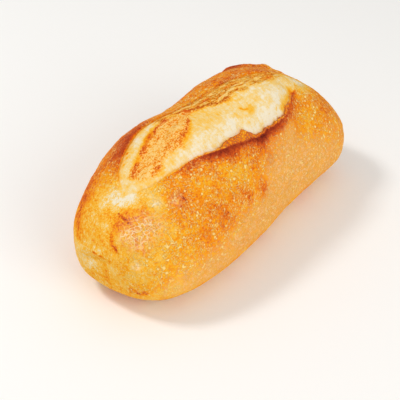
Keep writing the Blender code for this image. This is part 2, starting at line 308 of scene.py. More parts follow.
@dataclass(frozen=True)
class Body:
    """The plain loaf under its relief: a stack of sections across X."""

    length: float = 280.0
    belly_height: float = 35.6
    underside_depth: float = 44.4
    base_rounding: float = 3.0
    side_power: float = 0.91
    crown_power: float = 0.95
    underside_power: float = 0.70
    narrow_end_powers: Span = (2.6, 3.0)
    broad_end_powers: Span = (2.7, 3.1)
    end_drop_power: float = 0.90
    end_row_share: float = 0.62
    # How near to the edge of its section a line of columns may come, as a share of the width or height
    most_share: float = 0.97
    # Share of the half length, half-width to the ear's side, half-width to the back, height of the crown
    stations: tuple[tuple[float, float, float, float], ...] = (
        (-1.00, 78.5, 64.0, 95.5),
        (-0.66, 70.5, 68.5, 103.5),
        (-0.33, 66.5, 74.0, 112.0),
        (0.00, 63.5, 67.0, 110.5),
        (0.33, 62.0, 67.0, 114.0),
        (0.66, 72.5, 69.5, 110.0),
        (1.00, 105.0, 75.0, 94.5),
    )

    def width_share(self, share: Array) -> Array:
        """The share of its full width that the loaf has at a share of its half length.

        Args:
            share: Places as shares of the half length, from -1 to 1.

        Returns:
            The share of the width at each place, from 0 to 1.
        """
        powers = zip(self.narrow_end_powers, self.broad_end_powers)
        square, blunt = (np.where(share < 0, *pair) for pair in powers)
        return (1 - np.abs(share) ** square).clip(0) ** (1 / blunt)

    def row_places(self, rows: int) -> Array:
        """The x of each row, from tip to tip, in even steps along the outline seen from above.

        Args:
            rows: How many rows there are.

        Returns:
            Their x, in order.
        """
        share = np.sin(np.linspace(-math.pi / 2, math.pi / 2, OUTLINE_STEPS))
        x = share * self.length / 2
        side = self.width_share(share) * self.stations[3][1]
        along = np.abs(np.diff(x)) + self.end_row_share * np.abs(np.diff(side))
        travelled = np.concatenate(([0.0], np.cumsum(along)))
        return np.interp(np.linspace(0, travelled[-1], rows), travelled, x)

    def section_sizes(self, x: Array) -> tuple[Array, Array, Array, Array]:
        """At each x: half-width to the ear's side and to the back, height of the crown, and width share.

        Args:
            x: Places along the loaf.

        Returns:
            The four sizes, in that order.
        """
        share = x / (self.length / 2)
        stations = np.array(self.stations)
        full = self.width_share(share)
        ear_side, back, crown = (curve(share, stations[:, (0, i)]) for i in (1, 2, 3))
        return ear_side * full, back * full, crown, full

    def point(self, x: Array, angle: Array) -> Array:
        """Points of the plain body.

        Args:
            x: Places along the loaf.
            angle: Angles round the section, from the back over the top.

        Returns:
            The points, three numbers each on the last axis.
        """
        ear_side, back, crown, full = self.section_sizes(x)
        cosine, sine = np.cos(angle), np.sin(angle)
        reach = np.where(cosine > 0, back, ear_side)
        y = np.sign(cosine) * np.abs(cosine) ** self.side_power * reach
        fall = full**self.end_drop_power
        above = (crown - self.belly_height) * sine.clip(0) ** self.crown_power
        below = -self.underside_depth * (-sine).clip(0) ** self.underside_power
        z = self.belly_height + (above + below) * fall
        k = self.base_rounding
        z = np.where(z > k, z, np.where(z > -k, (z + k) ** 2 / (4 * k), 0.0))
        return np.stack(np.broadcast_arrays(x, y, z), axis=-1)

    def angle_at(self, y: Array, ear_side: Array, back: Array) -> Array:
        """The angle round the section at which the body's top has this y.

        Args:
            y: Places across the loaf.
            ear_side: Half-width of the section to the ear's side.
            back: Half-width to the back.

        Returns:
            The angle at each place.
        """
        reach = np.where(y > 0, back, ear_side).clip(TINY)
        share = (np.abs(y) / reach).clip(0, self.most_share)
        return np.arccos(np.sign(y) * share ** (1 / self.side_power))

    def tuck_angle(self, full: Array) -> Array:
        """The angle below the belly at which the underside meets the flat base.

        Args:
            full: The share of its full width that each section has.

        Returns:
            The angle in each section.
        """
        fall = full**self.end_drop_power
        lowest = (self.belly_height / (self.underside_depth * fall).clip(TINY)).clip(0, self.most_share)
        return np.arcsin(lowest ** (1 / self.underside_power))


@dataclass(frozen=True)
class SlashLines:
    """The y of the slash's lines at each x: the ear's crest, its torn edge and the far lip."""

    crest: Array
    tear: Array
    far: Array
    rolled: Array

    @property
    def width(self) -> Array:
        """The width of the open slash."""
        return self.far - self.tear

    @property
    def torn_start(self) -> Array:
        """The line on the ear's top where its skin ends and its torn face starts."""
        return self.crest + self.rolled * (self.tear - self.crest)


@dataclass(frozen=True)
class Slash:
    """The slash: an ear with a torn edge, the crumb that swelled out of it, and the far lip."""

    # The lines that run along it, as x against y
    crest: Knots = (
        (-140, 14), (-112, 2), (-98, -10.5), (-75, -20.8), (-55, -27.5), (-30, -38.2), (0, -46.2),
        (17, -48.2), (36, -48.5), (50, -46), (62, -41), (73, -34.5), (86, -29), (99, -15), (140, 30),
    )
    tear: Knots = (
        (-140, 15), (-112, 3), (-98, -9.5), (-75, -19.6), (-55, -25.5), (-30, -34.5), (0, -39.8),
        (17, -42.2), (36, -43), (50, -40.5), (62, -36.5), (73, -32.5), (86, -28.2), (99, -14.5), (140, 32),
    )
    far_lip: Knots = (
        (-140, -10), (-112, 2), (-94, 19), (-83, 24.5), (-67, 30), (-53, 32.2), (-32, 28), (-13, 24),
        (5, 19.5), (32, 11), (50, 4.5), (65, 0.5), (84, -4.5), (95, -8.5), (101, -15), (140, -40),
    )
    # How far the torn edge reaches past its line: a tooth with a long shoulder
    tooth: Knots = (
        (-70, 0), (-52, -1), (-40, -1.1), (-34, 0.6), (-27, 2.8), (-12, 3.6), (-6.5, 4.8), (-4, 6.2),
        (-1.5, 3.6), (3, 0),
    )
    # Each nick's size and height
    ragged: Span = (9.0, 0.9)
    frayed: Span = (2.0, 0.6)
    # Share of the way from the crest to the tear at which the torn face starts
    rolled: Knots = (
        (-60, 0), (-40, 0.05), (-28, 0.22), (-14.5, 0.28), (-4, 0.27), (2, 0.38), (10, 0.58), (40, 0.64),
        (60, 0.55), (80, 0.3),
    )
    # The lifts above the body, as x against z
    ear_rise: Knots = (
        (-110, 0), (-70, 0.4), (-50, 1.8), (-30, 4.2), (-10, 6.4), (10, 7.4), (40, 7.4), (53, 6.2),
        (65, 3.8), (76, 1), (85, 0),
    )
    far_rise: Knots = (
        (-112, 0), (-95, 2.2), (-70, 3), (-45, 2.2), (-25, 0.6), (10, 0.8), (40, 1.6), (65, 1.6), (80, 0.8),
        (92, 0),
    )
    swell: Knots = ((-112, 0), (-90, 0.6), (-50, 1.4), (-15, 2.8), (20, 3.8), (50, 3.6), (75, 2.2), (99, 0))
    sink: Knots = ((-112, 0), (-98, 1.2), (-50, 1.7), (0, 1.8), (55, 1.8), (76, 0.8), (92, 0))
    ear_slope: float = 8.0
    ear_power: float = 1.25
    tear_drop: float = 0.35
    tear_step: float = 0.20
    sink_width: float = 3.5
    # The shares of the way over the crumb at which the ear's level ends and the lip's level starts
    ear_end: float = 0.75
    lip_start: float = 0.6
    lip_level: float = 0.4
    swell_power: float = 0.8
    tip_taper: float = 16.0
    wall: float = 0.6
    # How many times softer the crumb's edge is where the slash closes, and over which widths
    end_blur: float = 4.0
    closing: Span = (8.0, 21.0)
    lip_fall: float = 11.0
    # The crusts that baked on the crumb
    tongue_top: Knots = ((-100, 4), (-86, 8.8), (-75, 11.9), (-61, 15), (-48, 18), (-36, 17.5), (-20, 14))
    tongue_foot: Knots = (
        (-100, -2), (-89, -7), (-80, -11.2), (-67, -11.2), (-59, -12.2), (-48, -9.8), (-36, -5.4), (-28, 0),
        (-20, 5),
    )
    tongue_ends: Span = (-100.0, -10.0)
    tongue_lift: float = 0.7
    band_foot: Knots = (
        (-46, 22.5), (-34, 18), (-22, 13), (-13, 3.6), (0, -2.2), (10, -8.5), (22, -9.4), (33, -11.8),
        (46, -13.5), (65, -17.8), (95, -19),
    )
    band_ends: Span = (-46.0, 88.0)
    band_lift: float = 0.8
    patch_edge: float = 2.2
    # How many times softer a patch is at its ends
    end_soft: float = 4.0
    patch_wander: Span = (8.0, 3.6)
    # The relief of the crumb: sizes along the loaf and across it, and heights
    wrinkle: Point = (22.0, 5.5, 0.9)
    strand: Point = (9.0, 30.0, 0.22)
    # The same, finer than the solid
    fibre: Point = (2.6, 12.0, 0.10)
    fissure: Point = (15.0, 2.8, 0.60)
    fissure_width: float = 0.30
    # Sizes and heights
    crumb_swells: Span = (10.0, 0.50)
    toast_grain: Span = (2.0, 0.22)
    torn_grain: Span = (2.0, 0.30)
    # Where the torn grain starts: the share of the way to the tear, and the rise of the ear
    torn_from: Span = (0.2, 0.5)
    torn_rise: Span = (0.0, 2.0)
    # The cracks along the patches' edges
    edge_width: float = 3.4
    edge_end: float = 6.0
    edge_wander: float = 0.4

    def lines(self, x: Array) -> SlashLines:
        """The lines of the slash, the torn edge with its nicks and its tooth.

        Args:
            x: Places along the loaf.

        Returns:
            The lines at each x.
        """
        along = flat(x, 0 * x)
        nicks = sum(
            height * unevenness(along, size, seed)
            for seed, (size, height) in enumerate((self.ragged, self.frayed), Seed.NICKS)
        )
        shown = step(curve(x, self.ear_rise), 0, 2 * self.ragged[1])
        tear = curve(x, self.tear) + curve(x, self.tooth) + nicks * shown
        return SlashLines(curve(x, self.crest), tear, curve(x, self.far_lip), curve(x, self.rolled))

    def inside(self, y: Array, lines: SlashLines) -> Array:
        """1 on the crumb and 0 on the crust, with an edge that softens where the slash closes.

        Args:
            y: Places across the loaf.
            lines: The lines of the slash at each x.

        Returns:
            How far each place is on the crumb, from 0 to 1.
        """
        edge = self.wall * (1 + self.end_blur * (1 - step(lines.width, *self.closing)))
        from_tear = step(y - lines.tear, -edge, edge)
        return from_tear * step(lines.far - y, -edge, edge) * (lines.width > 0)

    def relief(self, x: Array, y: Array, lines: SlashLines) -> Array:
        """The lift of the ear, the crumb and the far lip above the body.

        Args:
            x: Places along the loaf.
            y: Places across it.
            lines: The lines of the slash at each x.

        Returns:
            The height to add at each place.
        """
        width = np.clip(lines.width, self.wall, None)
        on_ear = y < lines.tear + width / 2
        crust = np.where(on_ear, self.ear_lift(x, y, lines), self.far_lift(x, y, lines))
        return crust + (self.crumb_lift(x, y, lines, width) - crust) * self.inside(y, lines)

    def ear_lift(self, x: Array, y: Array, lines: SlashLines) -> Array:
        """The ear's outer face up to its crest, and the torn edge behind it.

        Args:
            x: Places along the loaf.
            y: Places across it.
            lines: The lines of the slash at each x.

        Returns:
            The height of the ear at each place.
        """
        outer = bell(np.clip(lines.crest - y, 0, None) / self.ear_slope, self.ear_power)
        across = self.torn_share(y, lines)
        size, height = self.torn_grain
        grain = height * unevenness(flat(x, y), size, Seed.TORN_GRAIN) * step(across, *self.torn_from)
        rise = curve(x, self.ear_rise)
        return rise * outer * (1 - self.tear_drop * across) + grain * step(rise, *self.torn_rise)

    def torn_share(self, y: Array, lines: SlashLines) -> Array:
        """How far across the torn edge a place is, from the crest at 0 to the tear at 1."""
        return np.clip((y - lines.crest) / np.clip(lines.tear - lines.crest, self.wall, None), 0, 1)

    def far_lift(self, x: Array, y: Array, lines: SlashLines) -> Array:
        """The far lip, which falls back into the crust beyond it."""
        beyond = np.clip(y - lines.far, 0, None)
        return curve(x, self.far_rise) * bell(beyond / self.lip_fall)

    def crumb_lift(self, x: Array, y: Array, lines: SlashLines, width: Array) -> Array:
        """The crumb between the lips, with the crusts that baked on it.

        Args:
            x: Places along the loaf.
            y: Places across it.
            lines: The lines of the slash at each x.
            width: The width of the slash at each x.

        Returns:
            The height of the crumb at each place.
        """
        share = np.clip((y - lines.tear) / width, 0, 1)
        rise = curve(x, self.ear_rise)
        ear_level = rise * (1 - self.tear_drop - self.tear_step) * (1 - step(share, 0.0, self.ear_end))
        lip_level = self.lip_level * curve(x, self.far_rise) * step(share, self.lip_start, 1.0)
        swell = curve(x, self.swell) * np.sin(math.pi * share) ** self.swell_power
        near_lip = sum(np.exp(-part * width / self.sink_width) for part in (share, 1 - share))
        tongue, band = self.tongue(x, y), self.band(x, y)
        baked = np.clip(tongue + band, 0, 1)
        grain = baked * stretched(x, y, self.wrinkle, Seed.WRINKLES)
        grain = grain + (1 - baked) * stretched(x, y, self.strand, Seed.STRANDS)
        grain = grain + self.fine_grain(x, y, baked)
        lift = ear_level + lip_level + swell - curve(x, self.sink) * near_lip
        lift = lift + self.tongue_lift * tongue + self.band_lift * band
        return lift + grain * step(width, 0.0, self.tip_taper)

    def fine_grain(self, x: Array, y: Array, baked: Array) -> Array:
        """Fibres drawn across the crumb, and fissures and grain in what baked on it.

        Args:
            x: Places along the loaf.
            y: Places across it.
            baked: How far each place is covered by the crusts on the crumb, from 0 to 1.

        Returns:
            The height of the grain at each place.
        """
        size, height = self.crumb_swells
        fibres = stretched(x, y, self.fibre, Seed.FIBRES)
        fibres = fibres + height * unevenness(flat(x, y), size, Seed.CRUMB_SWELLS)
        fissures = -self.fissure[2] * self.fissures(x, y)
        size, height = self.toast_grain
        granules = height * unevenness(flat(x, y), size, Seed.GRANULES)
        return (1 - baked) * fibres + baked * (fissures + granules)

    def fissures(self, x: Array, y: Array) -> Array:
        """1 in the cracks of the baked crusts, which wind along the slash, and 0 between them."""
        along, across, _ = self.fissure
        return thread(stretched(x, y, (along, across, 1.0), Seed.FISSURES), self.fissure_width)

    def tongue(self, x: Array, y: Array) -> Array:
        """1 on the tongue of crust at the narrow end, and 0 off it."""
        return self.patch(x, y, self.tongue_foot, self.tongue_top, self.tongue_ends)

    def band(self, x: Array, y: Array) -> Array:
        """1 on the band of crust beside the far lip, and 0 off it."""
        return self.patch(x, y, self.band_foot, self.far_lip, self.band_ends)

    def patch(self, x: Array, y: Array, foot: Knots, top: Knots, ends: Span) -> Array:
        """1 on the patch between two lines and two ends, and 0 off it.

        Args:
            x: Places along the loaf.
            y: Places across it.
            foot: Its edge towards the ear.
            top: Its edge towards the far lip.
            ends: The x of its two ends.

        Returns:
            How far each place is on the patch, from 0 to 1.
        """
        edge = self.patch_edge
        wander = self.wander(x, y)
        across = step(y + wander - curve(x, foot), -edge, edge)
        across = across * step(curve(x, top) - y + wander, -edge, edge)
        soft = self.end_soft * edge
        return across * between(x, (ends[0], ends[0] + soft), (ends[1] - soft, ends[1]))

    def wander(self, x: Array, y: Array) -> Array:
        """How far the edge of a patch strays from its line."""
        size, reach = self.patch_wander
        return reach * unevenness(flat(x, y), size, Seed.PATCH_EDGES)

    def cracks(self, x: Array, y: Array) -> Array:
        """1 on the dark cracks along the patches' edges, falling to 0 beside them.

        Args:
            x: Places along the loaf.
            y: Places across it.

        Returns:
            How dark the crack is at each place, from 0 to 1.
        """
        darkest = 0 * x
        for line, low, high, strength in self.edges:
            gap = (y - curve(x, line) + self.edge_wander * self.wander(x, y)) / self.edge_width
            ends = between(x, (low, low + self.edge_end), (high - self.edge_end, high))
            darkest = np.maximum(darkest, strength * bell(gap) * ends)
        return darkest

    @property
    def edges(self) -> tuple[tuple[Knots, float, float, float], ...]:
        """The lines along which the crusts on the crumb are cracked.

        Returns:
            For each line, its knots, the x of its two ends and how dark it is.
        """
        return (
            (self.tongue_top, -99.0, -30.0, 1.0),
            (self.tongue_foot, -90.0, -74.0, 0.95),
            (self.tongue_foot, -60.0, -24.0, 1.0),
            (self.band_foot, -30.0, 26.0, 0.50),
        )


@dataclass(frozen=True)
class CrustRelief:
    """What stands out of the crust or is folded into it."""

    # Folded in, or raised where the amount is negative
    creases: tuple[Streak, ...] = (
        Streak(((-139.5, 16, 42), (-140, 6, 47), (-139.5, -3, 46)), 3.4, 1.3),
        Streak(((-138, 24, 44), (-139.5, 12, 51), (-139.5, 4, 52)), 4, -1.6),
        Streak(((-129, -7, 81), (-136, -6.5, 70), (-139, -13, 58)), 2.8, 1.3),
        Streak(((-131, 11, 77), (-129, 5, 80), (-125, 2, 84)), 2.2, 0.9),
        Streak(((74, -38, 94), (60, -55, 74), (40, -66, 36)), 13, 1.8),
        Streak(((84, 39, 95), (96, 28, 96), (108, 17, 92)), 6, -3.4),
        Streak(((108, 17, 92), (115, 4, 90)), 5, -1.6),
        Streak(((78, 40.5, 96), (85, 37.5, 98)), 1.6, -2.4),
    )
    blisters: tuple[Blister, ...] = (
        Blister(-129, -28, 74, 15, 1.6), Blister(-133.5, -20, 70, 5.5, 0.9),
        Blister(-124.5, -37, 72, 6, 0.8), Blister(-116, -38, 79, 6, 0.8),
        Blister(-92.8, -37, 90, 7, 1.4, 1.2), Blister(-106.4, -28.5, 89, 5.5, 0.8, 0.6),
        Blister(-138, -31, 49, 4.5, 0.9), Blister(-30, -62, 70, 9, 0.6), Blister(-15, -67, 53, 9, 0.6),
    )
    lumps: tuple[Span, ...] = ((55.0, 1.6), (24.0, 0.7), (11.0, 0.3))
    # Finer than the solid
    grain: tuple[Span, ...] = ((5.2, 0.28), (2.6, 0.14))
    worm_size: float = 4.8
    worm_height: float = 0.30
    worm_width: float = 0.30
    bubble_size: float = 7.5
    bubble_height: float = 0.40
    bubble_share: float = 0.45
    # How much of the grain is left where the crust is not blistered
    least_grain: float = 0.4
    spine_half: float = 75.0
    spine_height: float = 45.0

    def forms(self, points: Array) -> Array:
        """How far the lumps, creases and blisters of the solid stand out of the body at each point.

        Args:
            points: Points of the body.

        Returns:
            The distance outwards at each point.
        """
        sizes = enumerate(self.lumps, Seed.LUMPS)
        lumps = sum(height * unevenness(points, size, seed) for seed, (size, height) in sizes)
        return lumps - total(self.creases, points) + total(self.blisters, points)

    def fine(self, points: Array, blistered: Array, wormy: Array) -> Array:
        """How far the finer relief stands out.

        Args:
            points: Points of the body.
            blistered: Where the crust is blistered, from 0 to 1.
            wormy: Where it has risen in winding ridges, from 0 to 1.

        Returns:
            The distance outwards at each point.
        """
        out = wormy * self.worm_height * self.worms(points)
        share = self.least_grain + (1 - self.least_grain) * blistered
        for seed, (size, height) in enumerate(self.grain, Seed.CRUST_GRAIN):
            out = out + height * unevenness(points, size, seed) * share
        domes = bubbles(points, self.bubble_size, self.bubble_share, Seed.BUBBLES)
        return out + blistered * self.bubble_height * domes

    def worms(self, points: Array) -> Array:
        """1 on the winding ridges of a blistered crust, and 0 between them."""
        return thread(unevenness(points, self.worm_size, Seed.WORMS), self.worm_width)

    def outward(self, points: Array) -> Array:
        """The direction away from the middle of the crumb.

        Args:
            points: Points of the body.

        Returns:
            One direction of length 1 for each point.
        """
        x, y, z = np.moveaxis(points, -1, 0)
        middle = (x.clip(-self.spine_half, self.spine_half), 0 * y, 0 * z + self.spine_height)
        away = points - np.stack(middle, axis=-1)
        return away / np.linalg.norm(away, axis=-1, keepdims=True)


# How far each place is baked


class Mark(Enum):
    """The fields that the skin carries to its finish."""

    BAKE = "bake"
    TAN = "tan"
    BLUSH = "blush"
    FLECK = "fleck"
    CRUMB = "crumb"
    TOAST = "toast"
    WRINKLE = "wrinkle"
    CRACK = "crack"
    TORN = "torn"


@dataclass(frozen=True)
class Baking:
    """How far the loaf is baked: 0 is white crumb, 0.5 an amber crust and 1 nearly burnt."""

    along: Knots = (
        (-142, 0.33), (-125, 0.34), (-108, 0.4), (-90, 0.5), (-60, 0.54), (-20, 0.54), (30, 0.52), (60, 0.5),
        (100, 0.52), (140, 0.54),
    )
    # Heights between which the top of the loaf starts
    top: Span = (55.0, 65.0)
    back: float = 0.60
    # Where the back's darker crust starts, across the loaf and from the narrow end
    back_side: Span = (-5.0, 30.0)
    back_start: Span = (-94.0, -30.0)
    underside: float = 0.40
    foot_top: Span = (4.0, 32.0)
    ear: Knots = (
        (-95, 0), (-85, 0.04), (-70, 0.08), (-50, 0.22), (-41, 0.28), (-30, 0.28), (-17, 0.24), (-4, 0.29),
        (10, 0.35), (22, 0.3), (39, 0.25), (50, 0.2), (62, 0.18), (76, 0.15), (88, 0),
    )
    ear_reach: Knots = (
        (-95, 1.4), (-70, 2.8), (-50, 5.2), (-40, 6), (-28, 5.6), (-12, 5), (0, 5), (10, 5.2), (22, 4.6),
        (45, 4.2), (76, 3.6),
    )
    strip_power: float = 2.6
    ear_foot: Span = (55.0, 70.0)
    ear_shown: Span = (0.0, 0.10)
    # How much darker the crust is round the strip, and how far that reaches
    halo: Span = (0.09, 10.5)
    torn_ends: tuple[Span, Span] = ((-98.0, -90.0), (78.0, 84.0))
    torn_rise: Span = (1.2, 3.0)
    torn: Knots = (
        (-100, 0.26), (-60, 0.28), (-50, 0.42), (-40, 0.54), (-28, 0.67), (-4, 0.64), (10, 0.71), (22, 0.66),
        (45, 0.6), (60, 0.58), (80, 0.46),
    )
    rim: Knots = (
        (-100, 0), (-92, 0.12), (-84, 0.26), (-70, 0.28), (-55, 0.24), (-42, 0.12), (-30, -0.02),
        (-15, -0.1), (5, -0.07), (22, -0.05), (35, 0.05), (70, 0.11), (90, 0.09), (104, 0),
    )
    rim_width: float = 14.5
    crumb: Knots = (
        (-105, 0.17), (-90, 0.16), (-78, 0.14), (-65, 0.11), (-55, 0.05), (-40, 0.03), (95, 0.03),
    )
    # What it gains away from the ear and beside the far lip, and the shares of the way at which that starts
    crumb_far: Knots = (
        (-100, 0.02), (-70, 0.04), (-45, 0.11), (-10, 0.11), (12, 0.11), (30, 0.08), (60, 0.07), (95, 0.1),
    )
    far_from: Span = (0.05, 0.36)
    crumb_lip: Knots = ((-100, -0.07), (-70, -0.04), (-30, 0.09), (95, 0.09))
    lip_from: Span = (0.5, 0.8)
    # What it gains right beside the torn edge and the far lip, and how far that reaches
    crumb_edge: Span = (0.05, 3.0)
    lip_edge: Span = (0.26, 1.8)
    tongue: float = 0.37
    tongue_fissures: float = 0.10
    band: Knots = ((-46, 0.41), (0, 0.4), (20, 0.36), (50, 0.32), (88, 0.26))
    band_fissures: float = 0.16
    # The tan band low on the sides: a smoother matt crust, with painted half-shade and bounce light on it; its
    # upper edge is a line of x against z
    tan_top: Knots = (
        (-130, 34), (-100, 40), (-70, 44), (-35, 52), (-10, 60), (12, 72), (30, 78), (50, 72), (70, 64),
        (90, 50), (105, 42), (140, 36),
    )
    tan_foot: Span = (10.0, 30.0)
    tan_edge: float = 22.0
    tan_start: Span = (-138.0, -108.0)
    # How far it stays from the ear's torn face
    tan_gap: Span = (2.5, 7.0)
    # The size and the height of the waves of its upper edge
    tan_swells: Span = (14.0, 5.0)
    # Where the pale skin of blisters, with its painted highlights, starts: up from the table, from the narrow
    # end and to the ear's side
    fleck_foot: Span = (8.0, 34.0)
    fleck_start: Span = (-118.0, -85.0)
    fleck_side: Span = (10.0, 30.0)
    least_fleck: float = 0.15
    stains: tuple[Stain, ...] = (
        # flour at the slash's near tip
        Stain(-108.5, 2.5, 87, 10, -0.36), Stain(-104, -3, 89, 6, -0.16), Stain(-113, 15, 84, 11, -0.09),
        Stain(-122.5, 12, 79, 5, -0.1),
        # flour at its far tip
        Stain(99, -20, 97, 9, -0.42), Stain(106, -25, 92, 9, -0.22), Stain(93.5, -30, 95.5, 6.5, -0.24),
        # the far rim's toasted edge
        Stain(76, 37, 99, 12, 0.13), Stain(88, 30, 98, 11, 0.11), Stain(102, 15, 96, 8, 0.07),
        # the shoulder behind the slash
        Stain(-54, 52, 88, 13, 0.07), Stain(-39, 44, 97, 11, 0.07),
        # the narrow end's toasted edge
        Stain(-96, 42, 80, 12, 0.16), Stain(-106, 43, 72, 11, 0.15), Stain(-117, 33, 73, 9, 0.06),
        Stain(-118, 40, 66, 11, 0.16), Stain(-129, 35, 58, 12, 0.22), Stain(-100, 50, 50, 30, 0.06),
        Stain(-109, 27, 84, 8, -0.08),
        # its cheek: puffed and pale, with a toasted fold
        Stain(-139, 22, 44, 7, -0.16), Stain(-141, 10, 35, 20, -0.04), Stain(-140, -18, 47, 6, 0.14),
        Stain(-136.9, -27, 28, 4.8, 0.18), Stain(-133.5, -35, 26, 4.8, 0.16), Stain(-126, -44, 36, 9, 0.03),
        Stain(-119, -50, 44, 13, 0.1), Stain(-85, -56, 60, 17, 0.05),
        # round the blister cluster
        Stain(-117, -10, 83, 5.5, 0.18), Stain(-111.5, -19, 83, 5, 0.1), Stain(-132, -5, 70, 5, 0.12),
        Stain(-134.7, -7.8, 65.5, 4.2, 0.1), Stain(-136.2, -11, 60.8, 3.4, 0.22),
        Stain(-128, -6, 75, 6, 0.2), Stain(-129, -31, 65, 5, 0.12),
        # the ring blisters
        Stain(-89, -35, 88, 7.8, 0.22), Stain(-90.8, -34, 88, 3.6, -0.26),
        Stain(-100.2, -24.4, 88, 4.5, -0.2), Stain(-135.2, -29.7, 52, 3.6, -0.12),
        # reddened spots on the ear's side
        Stain(-8.5, -60.3, 60, 8.5, 0.13), Stain(-29.5, -58.9, 68, 6.5, 0.13),
        Stain(-64, -57.4, 68, 7.5, 0.12), Stain(9, -56, 78, 6, 0.08),
        # the amber stretch below the ear
        Stain(-40, -48, 90, 12, -0.12), Stain(-64, -40, 92, 9, -0.08), Stain(-24, -50, 89, 8.5, -0.1),
        # the lobe's toasted crest
        Stain(108, -48, 78, 13, 0.1), Stain(80, -53, 82, 9, -0.06), Stain(70, -51, 77, 8, -0.07),
        Stain(83.5, -32, 97, 6, -0.18),
        # the pale slope between the slash and the cluster
        Stain(-96, -16, 91.5, 13, -0.1), Stain(-101, -17, 89.3, 7.5, -0.1),
        # beside the far lip's near end
        Stain(-101, 21, 89, 8, -0.04), Stain(-129, 18, 70, 9, 0.06), Stain(-105.4, 26.5, 84, 7, 0.08),
        Stain(-95.5, -24.6, 89.4, 4.5, 0.12), Stain(-106, -25, 85, 5.5, -0.09),
        Stain(-132.5, -29.8, 58.6, 8, 0.07), Stain(-140, 11, 55, 9, 0.06),
    )
    pits: tuple[Stain, ...] = (
        Stain(18.5, -27, 110.7, 3.6, 0.16), Stain(-59.4, 15, 108.4, 6, 0.22),
        Stain(-87.6, -7.3, 99.6, 5.5, -0.14), Stain(-48.4, -23.6, 106.4, 5.5, -0.07),
        Stain(21.4, 14.9, 112.2, 6, 0.06), Stain(-30.5, -11, 113.5, 7, 0.09), Stain(-41, -18, 111, 9, 0.06),
        Stain(-20, 2, 114, 6, 0.07), Stain(15, -30, 110, 4, 0.12), Stain(-76.7, 24.3, 99.3, 1.3, 0.55),
        Stain(-80.9, 21.5, 98.8, 1.3, 0.45), Stain(-87, 19, 96.5, 1.2, 0.35), Stain(-60, -8, 109, 6, 0.18),
        Stain(5, -20, 112, 22, 0.05), Stain(-12, 8, 113, 8, 0.12), Stain(-13, -7, 114.1, 5.5, 0.12),
        Stain(83, -13, 104, 13, 0.09),
    )
    cluster: tuple[Stain, ...] = (
        Stain(-123.5, -24.5, 75.5, 11, 1), Stain(-115, -31, 79, 8, 0.8), Stain(-131, -16, 70.5, 5, 0.7),
        Stain(-130, -28, 67, 6, 0.3), Stain(-90.5, -34.5, 88, 4.5, 0.45), Stain(-135.2, -29.7, 52, 3.4, 0.9),
        Stain(-100.2, -24.4, 88, 3.4, 0.5),
    )
    # More of the tan band's painted half-shade beside the lobe, and less of it at the reddened spots
    tan_patches: tuple[Stain, ...] = (
        Stain(43, -52, 86, 10, 0.45), Stain(112, -60, 55, 17, 0.3), Stain(-8.5, -60.3, 60, 10, -0.5),
        Stain(-29.5, -58.9, 68, 8.5, -0.4),
    )
    scratches: tuple[Streak, ...] = (
        Streak(((-89, 21, 95), (-97.5, 17.5, 91.5), (-104, 12, 89)), 1.2, 0.55),
        # the cheek's fold, the creases at the cluster, and the short crease by the flour
        Streak(((-141.7, 6.8, 52), (-141.7, 3.7, 52), (-140.4, -3, 49.9)), 1.4, 0.9),
        Streak(((-133.5, -6, 67.5), (-136, -7.5, 63), (-136.8, -13, 59.6)), 1.4, 0.9),
        Streak(((-120.5, -3, 80), (-122.5, -10.5, 78.8), (-123.2, -15, 77.8)), 1.2, 1),
        Streak(((-122.5, -10.5, 78.8), (-119, -15, 80), (-115, -19, 81.5)), 1.2, 0.6),
        Streak(((-136.9, -25, 30), (-134.6, -31.9, 25.1), (-130, -40, 29)), 1.8, 0.7),
        Streak(((-105.9, 13, 88.6), (-104, 9.6, 89)), 0.7, 0.9),
        Streak(((-126, 13, 77), (-122.5, 8, 80.5), (-119, 3, 82.5)), 0.9, 0.5),
        Streak(((-84.5, -36.5, 88.5), (-85, -40, 86), (-89, -42, 84)), 1, 0.8),
        Streak(((-127, -21.5, 73), (-129, -26, 70), (-132.5, -29, 64)), 1.6, 0.7),
        # the ragged edge of the far rim
        Streak(((60, 35, 103), (78, 38, 97), (89, 32, 97)), 3, 0.36),
        Streak(((89, 32, 97), (96, 23, 97), (106, 12, 94)), 2.2, 0.36),
    )
    # Darker lines in the crumb: painted shade along its folds, and browned creases
    folds: tuple[Streak, ...] = (
        Streak(((9, -29, 110), (8, -35, 108), (3, -39, 106)), 0.8, 0.14),
        Streak(((11.2, -22.2, 113.4), (12.2, -25, 112.2), (15.2, -26.2, 111.5)), 0.9, 0.36),
        Streak(((44, -36, 104.5), (40, -39, 103)), 0.7, 0.32),
        Streak(((18, -28, 110), (16, -35, 108), (13, -40, 106)), 0.8, 0.1),
        Streak(((30, -20, 112), (24, -17, 114), (15, -15, 115)), 1.1, 0.16),
    )
    # The dark seam where the torn edge meets the crumb
    seam_width: float = 1.0
    seam_ends: tuple[Span, Span] = ((-98.0, -86.0), (40.0, 60.0))
    seam_strength: float = 0.75
    # The toasted end of the torn edge, over the crumb
    toasted_end: Streak = Streak(
        ((48.5, -39, 100.8), (56.3, -37.1, 101), (63.6, -34.4, 101.3), (76.3, -29.6, 100.2)), 3.6, 0.3
    )
    pale_strength: float = 0.22
    pale_scratches: tuple[Streak, ...] = (
        Streak(((30.3, -59.2, 57.6), (29, -60.4, 45.2)), 0.6, 0.9),
        Streak(((12, -56, 70), (8, -59.2, 60)), 0.6, 0.7),
        Streak(((91, -25, 98.5), (90, -34, 93.5), (86, -42, 88)), 1, 0.5),
        Streak(((18, -56, 72), (23, -60, 56)), 0.6, 0.5),
    )

